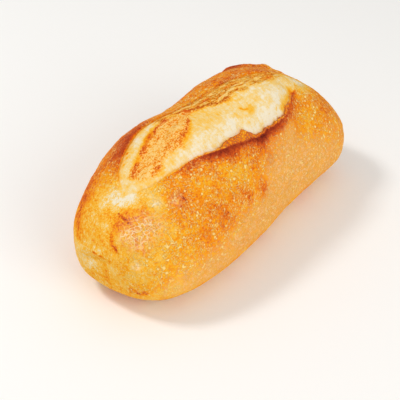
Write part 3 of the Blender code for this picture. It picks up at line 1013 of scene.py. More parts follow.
    def marks(self, points: Array, surface: Array, slash: Slash, lines: SlashLines) -> dict[Mark, Array]:
        """The fields that the finish reads.

        Args:
            points: Points of the body.
            surface: The same points on the loaf's surface.
            slash: The slash.
            lines: Its lines at each point's x.

        Returns:
            One field for each mark.
        """
        x, y, z = np.moveaxis(points, -1, 0)
        on_top = step(z, *self.top)
        inside = slash.inside(y, lines) * on_top
        torn = self.torn_face(x, y, slash, lines) * (1 - inside) * on_top
        tongue, band = slash.tongue(x, y), slash.band(x, y)
        baked_on = np.clip(tongue + band, 0, 1) * inside
        crust = self.crust(points, surface, lines)
        crust = crust + (curve(x, self.torn) - crust) * torn
        bake = crust + (self.inner(x, y, surface, slash, lines) - crust) * inside
        return {
            Mark.BAKE: bake,
            Mark.TAN: self.tan(points) * (1 - inside) * step(lines.torn_start - y, *self.tan_gap),
            Mark.BLUSH: np.clip(total(self.cluster, surface), 0, 1),
            Mark.FLECK: self.flecked(points) * (1 - inside) * (1 - torn),
            Mark.CRUMB: inside * (1 - baked_on),
            Mark.TOAST: baked_on,
            Mark.WRINKLE: band * inside,
            Mark.CRACK: self.cracks(x, y, surface, slash, lines, inside),
            Mark.TORN: torn * step(curve(x, slash.ear_rise), *self.torn_rise),
        }

    def flecked(self, points: Array) -> Array:
        """Where the crust has its pale skin of fine blisters and their painted highlights: least at the narrow
        end and by the table.

        Args:
            points: Points of the body.

        Returns:
            How much of the pale skin there is at each point, from 0 to 1.
        """
        x, y, z = np.moveaxis(points, -1, 0)
        shown = step(x, *self.fleck_start) + step(-y, *self.fleck_side)
        share = self.least_fleck + (1 - self.least_fleck) * np.clip(shown, 0, 1)
        return step(z, *self.fleck_foot) * share

    def torn_face(self, x: Array, y: Array, slash: Slash, lines: SlashLines) -> Array:
        """1 on the torn face behind the ear's crest, and 0 off it."""
        start = step(y - lines.torn_start, -slash.wall, slash.wall)
        return start * step(lines.tear - y, -2 * slash.wall, 0) * between(x, *self.torn_ends)

    def cracks(
        self, x: Array, y: Array, points: Array, slash: Slash, lines: SlashLines, inside: Array
    ) -> Array:
        """The soft field that the finish sharpens into dark cracks.

        Args:
            x: Places along the loaf.
            y: Places across it.
            points: Points on the loaf's surface.
            slash: The slash.
            lines: The lines of the slash at each x.
            inside: How far each point is on the crumb, from 0 to 1.

        Returns:
            The field at each point, from 0 to 1.
        """
        seam = self.seam_strength * bell((y - lines.tear) / self.seam_width) * between(x, *self.seam_ends)
        on_top = step(points[..., 2], *self.top)
        scratched = total(self.scratches, points) * (1 - inside)
        return np.clip(slash.cracks(x, y) * inside + seam * on_top + scratched, 0, 1)

    def crust(self, points: Array, surface: Array, lines: SlashLines) -> Array:
        """How far the crust is baked outside the slash.

        Args:
            points: Points of the body.
            surface: The same points on the loaf's surface.
            lines: The lines of the slash at each x.

        Returns:
            The bake at each point.
        """
        x, y, z = np.moveaxis(points, -1, 0)
        back = step(y, *self.back_side) * step(x, *self.back_start)
        level = curve(x, self.along) + (self.back - curve(x, self.along)) * back
        level = level + (self.underside - level) * (1 - step(z, *self.foot_top))
        on_ear = y < lines.tear + lines.width / 2
        below_crest = np.clip(lines.torn_start - y, 0, None)
        strip = curve(x, self.ear) * bell(below_crest / curve(x, self.ear_reach), self.strip_power)
        halo = self.halo[0] * bell(below_crest / self.halo[1])
        shown = step(curve(x, self.ear), *self.ear_shown) * on_ear * step(z, *self.ear_foot)
        rim = curve(x, self.rim) * bell(np.clip(y - lines.far, 0, None) / self.rim_width) * ~on_ear
        scratched = self.pale_strength * total(self.pale_scratches, surface)
        return level + (strip + halo) * shown + rim - scratched + total(self.stains, surface)

    def inner(self, x: Array, y: Array, points: Array, slash: Slash, lines: SlashLines) -> Array:
        """How far the crumb and what baked on it went.

        Args:
            x: Places along the loaf.
            y: Places across it.
            points: Points on the loaf's surface.
            slash: The slash.
            lines: The lines of the slash at each x.

        Returns:
            The bake at each point.
        """
        width = np.clip(lines.width, slash.wall, None)
        share = np.clip((y - lines.tear) / width, 0, 1)
        from_tear = share * width
        level = curve(x, self.crumb) + curve(x, self.crumb_far) * step(share, *self.far_from)
        level = level + curve(x, self.crumb_lip) * step(share, *self.lip_from)
        level = level + self.crumb_edge[0] * np.exp(-from_tear / self.crumb_edge[1])
        level = level + self.lip_edge[0] * np.exp(-np.clip(lines.far - y, 0, None) / self.lip_edge[1])
        tongue, band = slash.tongue(x, y), slash.band(x, y)
        fissures = slash.fissures(x, y)
        level = level + (self.tongue + self.tongue_fissures * fissures - level) * tongue
        level = level + (curve(x, self.band) + self.band_fissures * fissures - level) * band
        # The pits, the painted shade along the crumb's folds, and the toasted end of the torn edge
        return level + total((*self.pits, *self.folds, self.toasted_end), points)

    def tan(self, points: Array) -> Array:
        """Where the crust is tan, smoother and matt, with painted half-shade and bounce light: a band low on
        the sides, and beside the lobe.

        Args:
            points: Points of the body.

        Returns:
            How far each point is on such crust, from 0 to 1.
        """
        x, y, z = np.moveaxis(points, -1, 0)
        size, height = self.tan_swells
        top = curve(x, self.tan_top) + height * unevenness(points, size, Seed.TAN_EDGE)
        low = step(top - z, -self.tan_edge, self.tan_edge)
        low = low * step(x, *self.tan_start) * step(z, *self.tan_foot)
        return np.clip(low + total(self.tan_patches, points), 0, 1)


# Shader graphs

# The numbers of a Mix node's sockets when it blends colours
FACTOR, FIRST_COLOUR, SECOND_COLOUR, MIXED_COLOUR = 0, 6, 7, 2


@dataclass(frozen=True)
class Socket:
    """One output of a shader graph, with the arithmetic of numbers."""

    graph: "Graph"
    output: bpy.types.NodeSocket

    def math(self, operation: str, *values: "Socket | float") -> "Socket":
        """A Math node on these values, in order."""
        return self.graph.add("ShaderNodeMath", {"operation": operation}, dict(enumerate(values)))

    def __add__(self, other: "Socket | float") -> "Socket":
        """self + other"""
        return self.math("ADD", self, other)

    def __radd__(self, other: float) -> "Socket":
        """other + self"""
        return self.math("ADD", other, self)

    def __sub__(self, other: "Socket | float") -> "Socket":
        """self - other"""
        return self.math("SUBTRACT", self, other)

    def __rsub__(self, other: float) -> "Socket":
        """other - self"""
        return self.math("SUBTRACT", other, self)

    def __mul__(self, other: "Socket | float") -> "Socket":
        """self * other"""
        return self.math("MULTIPLY", self, other)

    def __rmul__(self, other: float) -> "Socket":
        """other * self"""
        return self.math("MULTIPLY", other, self)

    def __abs__(self) -> "Socket":
        """abs(self)"""
        return self.math("ABSOLUTE", self)

    def larger(self, other: "Socket | float") -> "Socket":
        """The larger of the two."""
        return self.math("MAXIMUM", self, other)

    def smaller(self, other: "Socket | float") -> "Socket":
        """The smaller of the two."""
        return self.math("MINIMUM", self, other)

    def step(self, low: float, high: float) -> "Socket":
        """0 at low, 1 at high, and smooth between them, whichever of the two is larger.

        Args:
            low: The value that gives 0.
            high: The value that gives 1.

        Returns:
            The step.
        """
        settings = {"interpolation_type": "SMOOTHSTEP", "clamp": True}
        values = {"Value": self, "From Min": low, "From Max": high}
        return self.graph.add("ShaderNodeMapRange", settings, values)


class Graph:
    """The nodes of one material."""

    def __init__(self, name: str) -> None:
        """Makes an empty material of this name.

        Args:
            name: Name of the material.
        """
        self.material = bpy.data.materials.new(name)
        self.material.use_nodes = True
        self.material.node_tree.nodes.clear()

    def node(
        self,
        kind: str,
        settings: Mapping[str, Any] | None = None,
        values: Mapping[str | int, Any] | None = None,
    ) -> bpy.types.Node:
        """Adds a node.

        Args:
            kind: The node's type.
            settings: Its properties, set first. A ramp's stops are given as "stops".
            values: What its input sockets hold or are linked to, by name or number.

        Returns:
            The node.
        """
        node = self.material.node_tree.nodes.new(kind)
        for name, value in (settings or {}).items():
            if name == "stops":
                self.set_stops(node.color_ramp, value)
            else:
                setattr(node, name, value)
        for name, value in (values or {}).items():
            if isinstance(value, Socket):
                self.material.node_tree.links.new(value.output, node.inputs[name])
            else:
                node.inputs[name].default_value = value
        return node

    def add(
        self,
        kind: str,
        settings: Mapping[str, Any] | None = None,
        values: Mapping[str | int, Any] | None = None,
        output: str | int = 0,
    ) -> Socket:
        """Adds a node, as node() does, and returns one of its outputs."""
        return Socket(self, self.node(kind, settings, values).outputs[output])

    @staticmethod
    def set_stops(ramp: bpy.types.ColorRamp, stops: Sequence[tuple[float, Colour]]) -> None:
        """Gives a ramp these stops.

        Args:
            ramp: The ramp.
            stops: Each stop's place from 0 to 1 and its colour.
        """
        while len(ramp.elements) < len(stops):
            ramp.elements.new(1.0)
        for element, (place, colour) in zip(ramp.elements, stops):
            element.position = place
            element.color = colour

    def mark(self, mark: Mark) -> Socket:
        """A field of the skin."""
        return self.add("ShaderNodeAttribute", {"attribute_name": mark.value}, output="Fac")

    def mix(self, factor: Socket | float, first: Socket | Colour, second: Socket | Colour) -> Socket:
        """A blend of two colours.

        Args:
            factor: Share of the second colour.
            first: The first colour.
            second: The second colour.

        Returns:
            The blend.
        """
        settings = {"data_type": "RGBA", "blend_type": "MIX", "clamp_factor": True}
        values = {FACTOR: factor, FIRST_COLOUR: first, SECOND_COLOUR: second}
        return self.add("ShaderNodeMix", settings, values, output=MIXED_COLOUR)

    def mapping(self, values: Mapping[str | int, Any]) -> Socket:
        """Places turned or scaled by a Mapping node with these values."""
        return self.add("ShaderNodeMapping", {"vector_type": "POINT"}, values, output="Vector")

    def finished(self, values: Mapping[str | int, Any]) -> bpy.types.Material:
        """Ends the graph in a surface.

        Args:
            values: What the inputs of the surface hold or are linked to.

        Returns:
            The material.
        """
        surface = self.add("ShaderNodeBsdfPrincipled", {}, values)
        self.node("ShaderNodeOutputMaterial", {}, {"Surface": surface})
        return self.material

    def noise(self, place: Socket, size: float, detail: float = 2.0, roughness: float = 0.5) -> Socket:
        """Soft noise about zero, with features about size across."""
        values = {"Vector": place, "Scale": 1 / size, "Detail": detail, "Roughness": roughness}
        return self.add("ShaderNodeTexNoise", {"noise_dimensions": "3D"}, values, output="Fac") - 0.5


def srgb(red: float, green: float, blue: float) -> Colour:
    """A display colour, its parts from 0 to 255, as the linear colour that a shader takes.

    Args:
        red: The red part.
        green: The green part.
        blue: The blue part.

    Returns:
        The linear colour, opaque.
    """
    parts = np.array((red, green, blue)) / 255
    # The standard curve of sRGB displays
    linear = np.where(parts <= 0.04045, parts / 12.92, ((parts + 0.055) / 1.055) ** 2.4)
    return (*(float(part) for part in linear), 1.0)


@dataclass(frozen=True)
class Grain:
    """One size of unevenness in the bake, and how strong it is on each kind of surface."""

    size: float
    detail: float
    roughness: float
    crust: float
    # How much weaker it is on the crust under its pale skin
    under_skin: float
    toast: float
    torn: float
    crumb: float


@dataclass(frozen=True)
class DrawnNoise:
    """Noise with its own sizes along the slash, across it and upwards."""

    sizes: Point
    detail: float
    roughness: float

    def amount(self, graph: Graph, place: Socket, turn: float) -> Socket:
        """The noise, about zero.

        Args:
            graph: The graph that gets the nodes.
            place: Where each point of the loaf's skin is.
            turn: The turn that brings the slash onto X, in degrees.

        Returns:
            The noise, from about -0.5 to 0.5.
        """
        turned = graph.mapping({"Vector": place, "Rotation": (0.0, 0.0, math.radians(turn))})
        scaled = graph.mapping({"Vector": turned, "Scale": tuple(1 / size for size in self.sizes)})
        return graph.noise(scaled, 1.0, self.detail, self.roughness)


@dataclass(frozen=True)
class PaleSkinAndHighlights:
    """The thin pale skin of fine blisters, with their highlights painted in: broken winding lines of two sizes,
    rings and dots.
    """

    line_sizes: Span = (0.0042, 0.0026)
    line_edge: Span = (0.046, 0.016)
    fine_edge: Span = (0.060, 0.020)
    fine_strength: float = 0.55
    break_size: float = 0.0110
    break_edge: Span = (-0.06, 0.0)
    # Where the lines show, and where the fine ones do
    gap_size: float = 0.0040
    line_gap: Span = (0.00, 0.04)
    fine_gap: Span = (0.01, -0.03)
    # Rings and dots lie in cells: how they differ in radius, their edges, and which cells hold them
    cell_size: float = 0.0042
    spread: float = 0.14
    ring_radius: float = 0.24
    ring_edge: Span = (0.10, 0.02)
    ring_cells: Span = (0.78, 0.82)
    ring_strength: float = 0.6
    dot_edge: Span = (0.22, 0.12)
    dot_cells: Span = (0.42, 0.38)

    def amount(self, graph: Graph, place: Socket) -> Socket:
        """How much of the skin shows.

        Args:
            graph: The graph that gets the nodes.
            place: Where each point of the loaf's skin is.

        Returns:
            The amount, from 0 to 1.
        """
        large, small = (abs(graph.noise(place, size, 1.0)) for size in self.line_sizes)
        broken = graph.noise(place, self.break_size, 2.0)
        gaps = graph.noise(place, self.gap_size, 1.0)
        values = {"Vector": place, "Scale": 1 / self.cell_size}
        cells = graph.node("ShaderNodeTexVoronoi", {"feature": "F1"}, values)
        colour = {"Color": Socket(graph, cells.outputs["Color"])}
        parts = graph.node("ShaderNodeSeparateColor", {}, colour)
        kind, size = (Socket(graph, parts.outputs[i]) for i in (0, 1))
        reach = Socket(graph, cells.outputs["Distance"]) - size * self.spread
        rings = abs(reach - self.ring_radius).step(*self.ring_edge) * kind.step(*self.ring_cells)
        dots = reach.step(*self.dot_edge) * kind.step(*self.dot_cells)
        lines = large.step(*self.line_edge) * gaps.step(*self.line_gap) * broken.step(*self.break_edge)
        fine = small.step(*self.fine_edge) * gaps.step(*self.fine_gap)
        return (rings * self.ring_strength).larger(dots).larger(lines).larger(fine * self.fine_strength)


@dataclass(frozen=True)
class Ridges:
    """The winding ridges of a blister cluster, in two sizes."""

    sizes: Span = (0.0054, 0.0035)
    edges: tuple[Span, Span] = ((0.060, 0.022), (0.050, 0.018))
    small_strength: float = 0.7

    def amount(self, graph: Graph, place: Socket) -> Socket:
        """How far each point is on a ridge.

        Args:
            graph: The graph that gets the nodes.
            place: Where each point of the loaf's skin is.

        Returns:
            The amount, from 0 to 1.
        """
        pairs = zip(self.sizes, self.edges)
        large, small = (abs(graph.noise(place, size, 1.0)).step(*edge) for size, edge in pairs)
        return large.larger(small * self.small_strength)


@dataclass(frozen=True)
class BumpHeights:
    """How far each kind of relief stands out, as a share of the bump's height."""

    skin: float = 0.8
    mottle: float = 0.5
    mottle_on_toast: float = 0.5
    grit: float = 0.6
    grit_on_toast: float = 0.2
    grit_on_torn: float = 1.2
    fibres: float = 0.8
    folds: float = 0.5
    flakes: float = 0.8
    ridges: float = 0.3
    creases: float = -0.6
    cracks: float = -0.8

    def total(self, r: "Reading") -> Socket:
        """The relief that is too fine for the mesh.

        Args:
            r: What the finish reads.

        Returns:
            The height.
        """
        height = r.skin * r.fleck * self.skin + r.mottle * (self.mottle + self.mottle_on_toast * r.toast)
        grit = self.grit + self.grit_on_toast * r.toast + self.grit_on_torn * r.torn
        height = height + r.grit * grit + r.fibres * r.crumb * self.fibres + r.folds * r.wrinkle * self.folds
        height = height + r.flakes * r.toast * self.flakes + r.ridges * self.ridges
        return height + r.creases * self.creases + r.ragged * self.cracks


@dataclass(frozen=True)
class Reading:
    """What the finish reads at each point of the skin: its fields, then noises of several kinds."""

    bake: Socket
    tan: Socket
    blush: Socket
    fleck: Socket
    crumb: Socket
    toast: Socket
    wrinkle: Socket
    torn: Socket
    clouds: Socket
    mottle: Socket
    grit: Socket
    puffs: Socket
    skin: Socket
    fibres: Socket
    flakes: Socket
    folds: Socket
    creases: Socket
    ridges: Socket
    ragged: Socket


@dataclass(frozen=True)
class BreadFinish:
    """Crust and crumb as one skin: a scale of baking colours, read through the grain of each surface."""

    name: str = "bread"
    # From white crumb over gold and amber to nearly burnt
    scale: tuple[tuple[float, Colour], ...] = (
        (0.00, srgb(242, 229, 200)),
        (0.12, srgb(242, 212, 146)),
        (0.25, srgb(246, 194, 86)),
        (0.38, srgb(246, 178, 44)),
        (0.50, srgb(243, 152, 26)),
        (0.62, srgb(236, 128, 24)),
        (0.76, srgb(208, 86, 30)),
        (0.90, srgb(156, 54, 30)),
        (1.00, srgb(92, 30, 22)),
    )
    # The tan band's colour: crust in painted half-shade and bounce light
    tan: Colour = srgb(236, 169, 78)
    blush: Colour = srgb(255, 218, 168)
    # The pale skin of the blisters, which also paints their highlights
    pale: Colour = srgb(255, 222, 142)
    toasted: Colour = srgb(252, 208, 134)
    clouds: Grain = Grain(0.0130, 6.0, 0.68, crust=1.5, under_skin=0.9, toast=0.5, torn=0.0, crumb=0.80)
    mottle: Grain = Grain(0.0032, 4.0, 0.70, crust=1.00, under_skin=0.50, toast=0.4, torn=1.10, crumb=0.30)
    grit: Grain = Grain(0.0013, 2.0, 0.6, crust=0.75, under_skin=0.15, toast=0.75, torn=1.40, crumb=0.25)
    # Size, detail and roughness
    puffs: Point = (0.0065, 5.0, 0.70)
    puff_edges: Span = (0.02, 0.07)
    slash_turn: float = 16.0
    flakes: DrawnNoise = DrawnNoise((0.0042, 0.0024, 0.0024), 5.0, 0.72)
    folds: DrawnNoise = DrawnNoise((0.0200, 0.0040, 0.0040), 4.0, 0.62)
    fibres: DrawnNoise = DrawnNoise((0.0018, 0.0110, 0.0110), 3.0, 0.6)
    skin: PaleSkinAndHighlights = PaleSkinAndHighlights()
    ridges: Ridges = Ridges()
    heights: BumpHeights = BumpHeights()
    bump_height: float = 0.00075
    bump_strength: float = 0.9
    crease_width: float = 0.040
    # How much weaker the grain is on dark crust, and where that starts and ends
    calming: float = 0.6
    calm_bakes: Span = (0.60, 0.90)
    # How much each kind of grain darkens the bake
    puff_strength: float = 0.12
    flake_strength: float = 0.95
    fibre_strength: float = 0.27
    crease_strength: float = 0.16
    fold_strength: float = 1.4
    blush_strength: float = 0.14
    cracks: tuple[tuple[Span, float], ...] = (((0.05, 0.65), 0.20), ((0.65, 1.10), 0.15))
    # How far the mottle and the grit fray a crack, on crust and further on toasted crumb, and from where
    frayed: Span = (0.9, 1.2)
    fray_shares: Span = (0.40, 0.60)
    fray_edge: Span = (0.05, 0.35)
    # The least and the most that what baked on the crumb is baked, and how much further crust goes
    toast_least: float = 0.14
    toast_most: float = 0.74
    crust_more: float = 0.3
    # Where the grain turns into a patch of each tone, the tan band's painted half-shade among them, and over
    # which bakes the pale flecks with their painted highlights show
    matt_shade_edge: Span = (0.10, 0.80)
    speck_edge: Span = (0.03, 0.13)
    flour_edge: Span = (0.60, 0.26)
    crumb_edge: Span = (0.03, 0.10)
    fleck_edges: tuple[Span, Span] = ((0.90, 0.50), (0.15, 0.35))
    # How much of that grain is mottle, clouds and grit on the tan band's matt crust and painted half-shade,
    # grit on toast, mottle on torn crust
    matt_shade_grain: Point = (0.8, 0.8, 0.5)
    flour_grain: float = 1.2
    crumb_grain: float = 0.5
    # How far each tone covers what is under it
    matt_shade_start: Span = (0.0, 0.3)
    matt_shade_cover: float = 0.75
    speck_cover: float = 0.5
    flour_cover: float = 0.70
    flour_less_on_wrinkles: float = 0.35
    crumb_cover: float = 0.20
    # The pale flecks paint the blisters' highlights as well as their pale skin
    fleck_cover: float = 0.90
    fleck_less_on_tan: float = 0.25
    # The same for the blistered cluster and its ridges, with what the mottle and the grit add
    blush_cover: Span = (0.16, 1.5)
    ridge_cover: Span = (0.66, 3.0)
    crust_roughness: float = 0.58
    crumb_roughness: float = 0.85
    tan_roughness: float = 0.12
    # So little gloss that the crust's highlights come from the painted pale flecks
    ior: float = 1.05

    def material(self) -> bpy.types.Material:
        """Builds the material.

        Returns:
            The material.
        """
        graph = Graph(self.name)
        r = self.reading(graph)
        height = self.heights.total(r)
        relief = {"Strength": self.bump_strength, "Distance": self.bump_height, "Height": height}
        soft = (r.crumb + r.toast) * (self.crumb_roughness - self.crust_roughness)
        values = {
            "Base Color": self.tone(graph, r, self.level(r)),
            "Roughness": self.crust_roughness + soft + r.tan * self.tan_roughness,
            "Normal": graph.add("ShaderNodeBump", {}, relief),
            "Metallic": 0.0,
            "IOR": self.ior,
        }
        return graph.finished(values)

    def reading(self, graph: Graph) -> Reading:
        """Makes the sockets of the fields and the noises.

        Args:
            graph: The graph that gets the nodes.

        Returns:
            The sockets.
        """
        place = graph.add("ShaderNodeTexCoord", output="Object")
        marks = {mark.value: graph.mark(mark) for mark in Mark}
        grains = (self.clouds, self.mottle, self.grit)
        clouds, mottle, grit = (graph.noise(place, g.size, g.detail, g.roughness) for g in grains)
        drawn = (self.folds, self.fibres, self.flakes)
        folds, fibres, flakes = (noise.amount(graph, place, self.slash_turn) for noise in drawn)
        crack, toast = marks.pop("crack"), marks["toast"]
        rough = (mottle * self.frayed[0] + grit * self.frayed[1]) * crack.step(*self.fray_edge)
        share = self.fray_shares[0] + self.fray_shares[1] * toast
        return Reading(
            **marks,
            clouds=clouds,
            mottle=mottle,
            grit=grit,
            puffs=graph.noise(place, *self.puffs),
            skin=self.skin.amount(graph, place),
            fibres=fibres,
            flakes=flakes,
            folds=folds,
            creases=abs(folds).step(self.crease_width, 0.0) * marks["wrinkle"],
            ridges=self.ridges.amount(graph, place) * marks["blush"],
            ragged=crack + rough * share,
        )

    def level(self, r: Reading) -> Socket:
        """How far each point is baked: its field, with the grain of its surface.

        Args:
            r: What the finish reads.

        Returns:
            The place on the scale of baking colours.
        """
        crust = (1 - r.crumb) * (1 - r.toast) * (1 - r.torn)
        calm = crust * (1 - self.calming * r.bake.step(*self.calm_bakes))
        level = r.bake
        for noise, g in ((r.clouds, self.clouds), (r.mottle, self.mottle), (r.grit, self.grit)):
            strength = calm * (g.crust - g.under_skin * r.fleck) + r.toast * g.toast
            level = level + noise * (strength + r.torn * g.torn + r.crumb * g.crumb)
        start, end = self.puff_edges
        puffed = r.puffs.step(-start, -end) - r.puffs.step(start, end)
        level = level + crust * (1 - r.fleck) * (1 - r.blush) * puffed * self.puff_strength
        level = level + r.flakes * r.toast * self.flake_strength + r.fibres * r.crumb * self.fibre_strength
        level = level + r.creases * self.crease_strength + r.folds * r.wrinkle * self.fold_strength
        level = (level + (r.blush - r.ridges) * self.blush_strength).larger(r.toast * self.toast_least)
        for edge, strength in self.cracks:
            level = level + r.ragged.step(*edge) * strength
        return level.smaller(self.toast_most + (1 - r.toast) * self.crust_more)

    def tone(self, graph: Graph, r: Reading, level: Socket) -> Socket:
        """The scale's colour, with the tones of each surface blended in.

        Args:
            graph: The graph that gets the nodes.
            r: What the finish reads.
            level: How far each point is baked.

        Returns:
            The colour.
        """
        mottle, clouds, grit = self.matt_shade_grain
        # Patches of the tan band's painted half-shade, broken up by the grain
        matt = (r.tan + r.mottle * mottle + r.clouds * clouds + r.grit * grit).step(*self.matt_shade_edge)
        specks = (r.mottle + r.grit).step(*self.speck_edge)
        floury = (level + r.grit * self.flour_grain).step(*self.flour_edge)
        crumbs = (r.grit + r.mottle * self.crumb_grain).step(*self.crumb_edge)
        # Pale flecks of blister skin, with their highlights painted in
        flecks = r.skin * r.fleck * (1 - r.blush)
        for edge in self.fleck_edges:
            flecks = flecks * level.step(*edge)
        risen = r.blush * (self.blush_cover[0] + r.mottle * self.blush_cover[1])
        risen = risen + r.ridges * (self.ridge_cover[0] + r.grit * self.ridge_cover[1])
        tone = graph.add("ShaderNodeValToRGB", {"stops": self.scale}, {"Fac": level}, output="Color")
        for factor, over in (
            # The tan band's painted half-shade, then the pink specks in it
            (r.tan.step(*self.matt_shade_start) * matt * self.matt_shade_cover, self.tan),
            (r.tan * specks * self.speck_cover, self.blush),
            (r.toast * floury * (self.flour_cover - self.flour_less_on_wrinkles * r.wrinkle), self.toasted),
            (r.torn * crumbs * self.crumb_cover, self.toasted),
            (flecks * (self.fleck_cover - self.fleck_less_on_tan * r.tan), self.pale),
            (risen, self.blush),
        ):
            tone = graph.mix(factor, tone, over)
        return tone


# The loaf


def placed(name: str, data: bpy.types.ID) -> bpy.types.Object:
    """Puts a mesh, a light or a camera into the scene.

    Args:
        name: Name of the object.
        data: What it shows.

    Returns:
        The object.
    """
    thing = bpy.data.objects.new(name, data)
    bpy.context.scene.collection.objects.link(thing)
    return thing


@dataclass
class Loaf:
    """The loaf's skin: rows across X, with columns that follow the lips of the slash."""

    body: Body = field(default_factory=Body)
    slash: Slash = field(default_factory=Slash)
    relief: CrustRelief = field(default_factory=CrustRelief)
    baking: Baking = field(default_factory=Baking)
    finish: BreadFinish = field(default_factory=BreadFinish)
    name: str = "loaf_skin"
    rows: int = 404
    # From the middle of the base up the back, over the slash and down the ear's side
    columns: tuple[int, ...] = (2, 8, 38, 22, 4, 64, 4, 10, 18, 56, 10, 2)
    # Round a tip, where the slash's columns give way to even ones, in quarter turns
    tip_columns: tuple[float, ...] = (0.66, 0.84, 0.88, 1.16, 1.20, 1.26, 1.38)
    tip_widths: Span = (0.15, 0.75)
    least_gap: float = 6.0
    # Heights over which the relief starts above the table, and the slash's relief above the belly
    relief_foot: Span = (2.0, 16.0)
    slash_foot: float = 30.0

    def build(self) -> bpy.types.Object:
        """Makes the skin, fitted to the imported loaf, in its place.

        Returns:
            The skin.
        """
        points, marks = self.skin_points()
        points = self.fitted(points, *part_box("loaf"))
        mesh = self.mesh(points, marks)
        mesh.materials.append(self.finish.material())
        skin = placed(self.name, mesh)
        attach(skin, "root")
        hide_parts("loaf")
        log.info("%s: %d faces, %.3f m long", skin.name, len(mesh.polygons), skin.dimensions.x)
        return skin

    def column_angles(self, x: Array) -> Array:
        """The angles of each row's columns round the section.

        Args:
            x: Places along the loaf.

        Returns:
            The angles, with one row for each x.
        """
        ear_side, back, _, full = self.body.section_sizes(x)
        wall = self.slash.wall
        lines = self.slash.lines(x)
        middle = (lines.tear + lines.far) / 2
        narrowest = 3 * wall
        crest = np.minimum(lines.crest, middle - self.least_gap - narrowest)
        tear = np.maximum(np.minimum(lines.tear, middle - self.least_gap), crest + narrowest)
        far = np.maximum(lines.far, middle + self.least_gap)
        tuck = self.body.tuck_angle(full)
        quarter = np.full_like(x, math.pi / 2)
        inside = step(full, *self.tip_widths)
        lip, ear = far + self.slash.lip_fall, crest - self.slash.ear_slope
        slashed = (lip, far + wall, far - wall, tear + wall, tear - wall, crest, ear)

        def place(y: Array, even: float) -> Array:
            """The angle of a line, which gives way to even columns towards a tip."""
            level = even * quarter
            return level + (self.body.angle_at(y, ear_side, back) - level) * inside

        marks = (
            -quarter,
            -tuck,
            0 * quarter,
            *(place(y, even) for y, even in zip(slashed, self.tip_columns)),
            2 * quarter,
            2 * quarter + tuck,
            3 * quarter,
        )
        angles = []
        for low, high, count in zip(marks[:-1], marks[1:], self.columns):
            angles += [low + (high - low) * i / count for i in range(count)]
        return np.stack(angles, axis=-1)

    def skin_points(self) -> tuple[Array, dict[Mark, Array]]:
        """The rows of points of the skin, and the fields that they carry.

        Returns:
            The points, in rows and columns, and one field for each mark.
        """
        rows = self.body.row_places(self.rows)[:, None]
        points = self.body.point(rows, self.column_angles(rows[:, 0]))
        x, y, z = np.moveaxis(points, -1, 0)
        lines = self.slash.lines(x)
        outward = self.relief.outward(points)
        above_table = step(z, *self.relief_foot)
        low = self.body.belly_height
        surface = points + (self.relief.forms(points) * above_table)[..., None] * outward
        surface[..., 2] += self.slash.relief(x, y, lines) * step(z, low, low + self.slash_foot)
        marks = self.baking.marks(points, surface, self.slash, lines)
        blistered = marks[Mark.FLECK] * (1 - marks[Mark.TAN])
        fine = self.relief.fine(points, blistered, marks[Mark.BLUSH]) * above_table
        points = surface + fine[..., None] * outward
        points[..., 2] = np.where(z > 0, points[..., 2].clip(0), 0)
        return points, marks

    def fitted(self, points: Array, low: Vector, high: Vector) -> Array:
        """The points in metres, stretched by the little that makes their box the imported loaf's box.

        Args:
            points: Points in millimetres.
            low: The lowest corner of the box, in metres.
            high: Its highest corner.

        Returns:
            The points in metres.
        """
        own_low, own_high = points.min(axis=(0, 1)), points.max(axis=(0, 1))
        scale = (np.array(high) - np.array(low)) / (own_high - own_low)
        log.info("fit to the packed loaf: %s", np.round(1000 * scale, 4))
        return np.array(low) + (points - own_low) * scale

    def mesh(self, points: Array, marks: Mapping[Mark, Array]) -> bpy.types.Mesh:
        """The closed mesh of the skin, each end drawn in to a tip, with its fields as attributes.

        Args:
            points: The points, in rows and columns.
            marks: The fields that they carry.

        Returns:
            The mesh.
        """
        rows, columns, _ = points.shape
        rings = points[1:-1].reshape(-1, 3)
        tips = points[[0, -1]].mean(axis=1)
        ring = np.arange((rows - 2) * columns).reshape(rows - 2, columns)
        turned = np.roll(ring, -1, axis=1)
        quads = np.stack((ring[:-1], turned[:-1], turned[1:], ring[1:]), axis=-1).reshape(-1, 4)
        first, last = ring.size, ring.size + 1
        near = [(first, b, a) for a, b in zip(ring[0].tolist(), turned[0].tolist())]
        off = [(last, a, b) for a, b in zip(ring[-1].tolist(), turned[-1].tolist())]
        mesh = bpy.data.meshes.new(self.name)
        mesh.from_pydata(np.concatenate((rings, tips)).tolist(), [], quads.tolist() + near + off)
        for mark, values in marks.items():
            ends = values[[0, -1]].mean(axis=1)
            attribute = mesh.attributes.new(mark.value, "FLOAT", "POINT")
            flat = np.concatenate((values[1:-1].reshape(-1), ends))
            attribute.data.foreach_set("value", flat.astype(np.float32))
        mesh.flip_normals()
        mesh.shade_smooth()
        return mesh


# The studio


def turn_to(thing: bpy.types.Object, middle: Vector, back: Vector, distance: float) -> None:
    """Places a lamp or a camera so that it faces a point.

    Args:
        thing: The lamp or the camera.
        middle: The point.
        back: The direction from the point to it.
        distance: How far from the point it is.
    """
    thing.location = middle + back * distance
    thing.rotation_mode = "QUATERNION"
    thing.rotation_quaternion = back.to_track_quat("Z", "Y")


@dataclass(frozen=True)
class Lamp:
    """A square soft box that faces the loaf."""

    name: str
    azimuth: float
    elevation: float
    distance: float
    side: float
    power: float
    colour: tuple[float, float, float] = (1.0, 1.0, 1.0)

    def build(self, middle: Vector) -> None:
        """Hangs the lamp round a point, which it faces.

        Args:
            middle: The point.
        """
        light = bpy.data.lights.new(self.name, "AREA")
        light.size = self.side
        light.energy = self.power
        light.color = self.colour
        turn_to(placed(self.name, light), middle, direction(self.azimuth, self.elevation), self.distance)


def direction(azimuth: float, elevation: float) -> Vector:
    """The way out to something seen from the loaf, in degrees: azimuth 0 is -Y and 90 is +X."""
    a, e = math.radians(azimuth), math.radians(elevation)
    return Vector((math.sin(a) * math.cos(e), -math.cos(a) * math.cos(e), math.sin(e)))


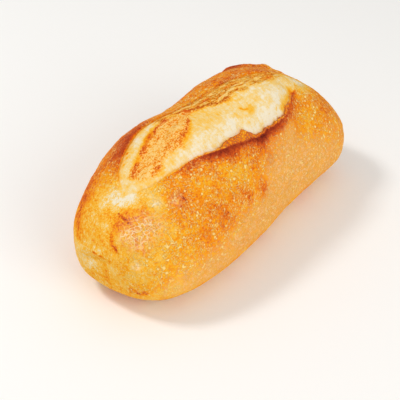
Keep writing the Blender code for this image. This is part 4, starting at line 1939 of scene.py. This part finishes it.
@dataclass(frozen=True)
class Studio:
    """A pale table, soft light, and the camera."""

    table_side: float = 6.0
    # How far the table lies below the loaf, so that the two faces never meet
    table_gap: float = 0.0002
    table_colour: Colour = srgb(250, 249, 246)
    table_roughness: float = 0.7
    sky: Colour = (1.0, 0.99, 0.98, 1.0)
    sky_strength: float = 0.60
    lamps: tuple[Lamp, ...] = (
        Lamp("key", -150.0, 54.0, 1.6, 0.30, 9.0),
        Lamp("fill", -12.0, 26.0, 1.8, 1.2, 12.5),
    )
    aim: Point = (0.0147, 0.0157, 0.0)
    azimuth: float = -54.0
    elevation: float = 37.4
    distance: float = 0.894
    lens: float = 90.0
    sensor: float = 36.0

    def build(self) -> None:
        """Sets the table, the sky, the lamps and the camera."""
        self.table()
        world = bpy.data.worlds.new("sky")
        world.use_nodes = True
        background = world.node_tree.nodes["Background"]
        background.inputs["Color"].default_value = self.sky
        background.inputs["Strength"].default_value = self.sky_strength
        bpy.context.scene.world = world
        low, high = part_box("loaf")
        for lamp in self.lamps:
            lamp.build((low + high) / 2)
        self.camera()
        bpy.context.scene.view_settings.view_transform = "Standard"
        bpy.context.scene.view_settings.look = "None"
        log.info("studio: %d lamps", len(self.lamps))

    def table(self) -> None:
        """Lays the table under the loaf."""
        half = self.table_side / 2
        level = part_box("loaf")[0].z - self.table_gap
        corners = [(-half, -half, level), (half, -half, level), (half, half, level), (-half, half, level)]
        mesh = bpy.data.meshes.new("table")
        mesh.from_pydata(corners, [], [(0, 1, 2, 3)])
        values = {"Base Color": self.table_colour, "Roughness": self.table_roughness}
        mesh.materials.append(Graph("table").finished(values))
        placed("table", mesh)

    def camera(self) -> None:
        """Sets up the camera, which looks down on the narrow end."""
        view = bpy.data.cameras.new("camera")
        view.lens = self.lens
        view.sensor_width = self.sensor
        camera = placed("camera", view)
        turn_to(camera, Vector(self.aim), direction(self.azimuth, self.elevation), self.distance)
        bpy.context.scene.camera = camera


def main() -> None:
    """Builds the loaf and the studio, and notes the model's size."""
    logging.basicConfig(level=logging.INFO, format="%(name)s: %(message)s")
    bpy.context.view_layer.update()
    Loaf().build()
    Studio().build()


if __name__ == "__main__":
    main()
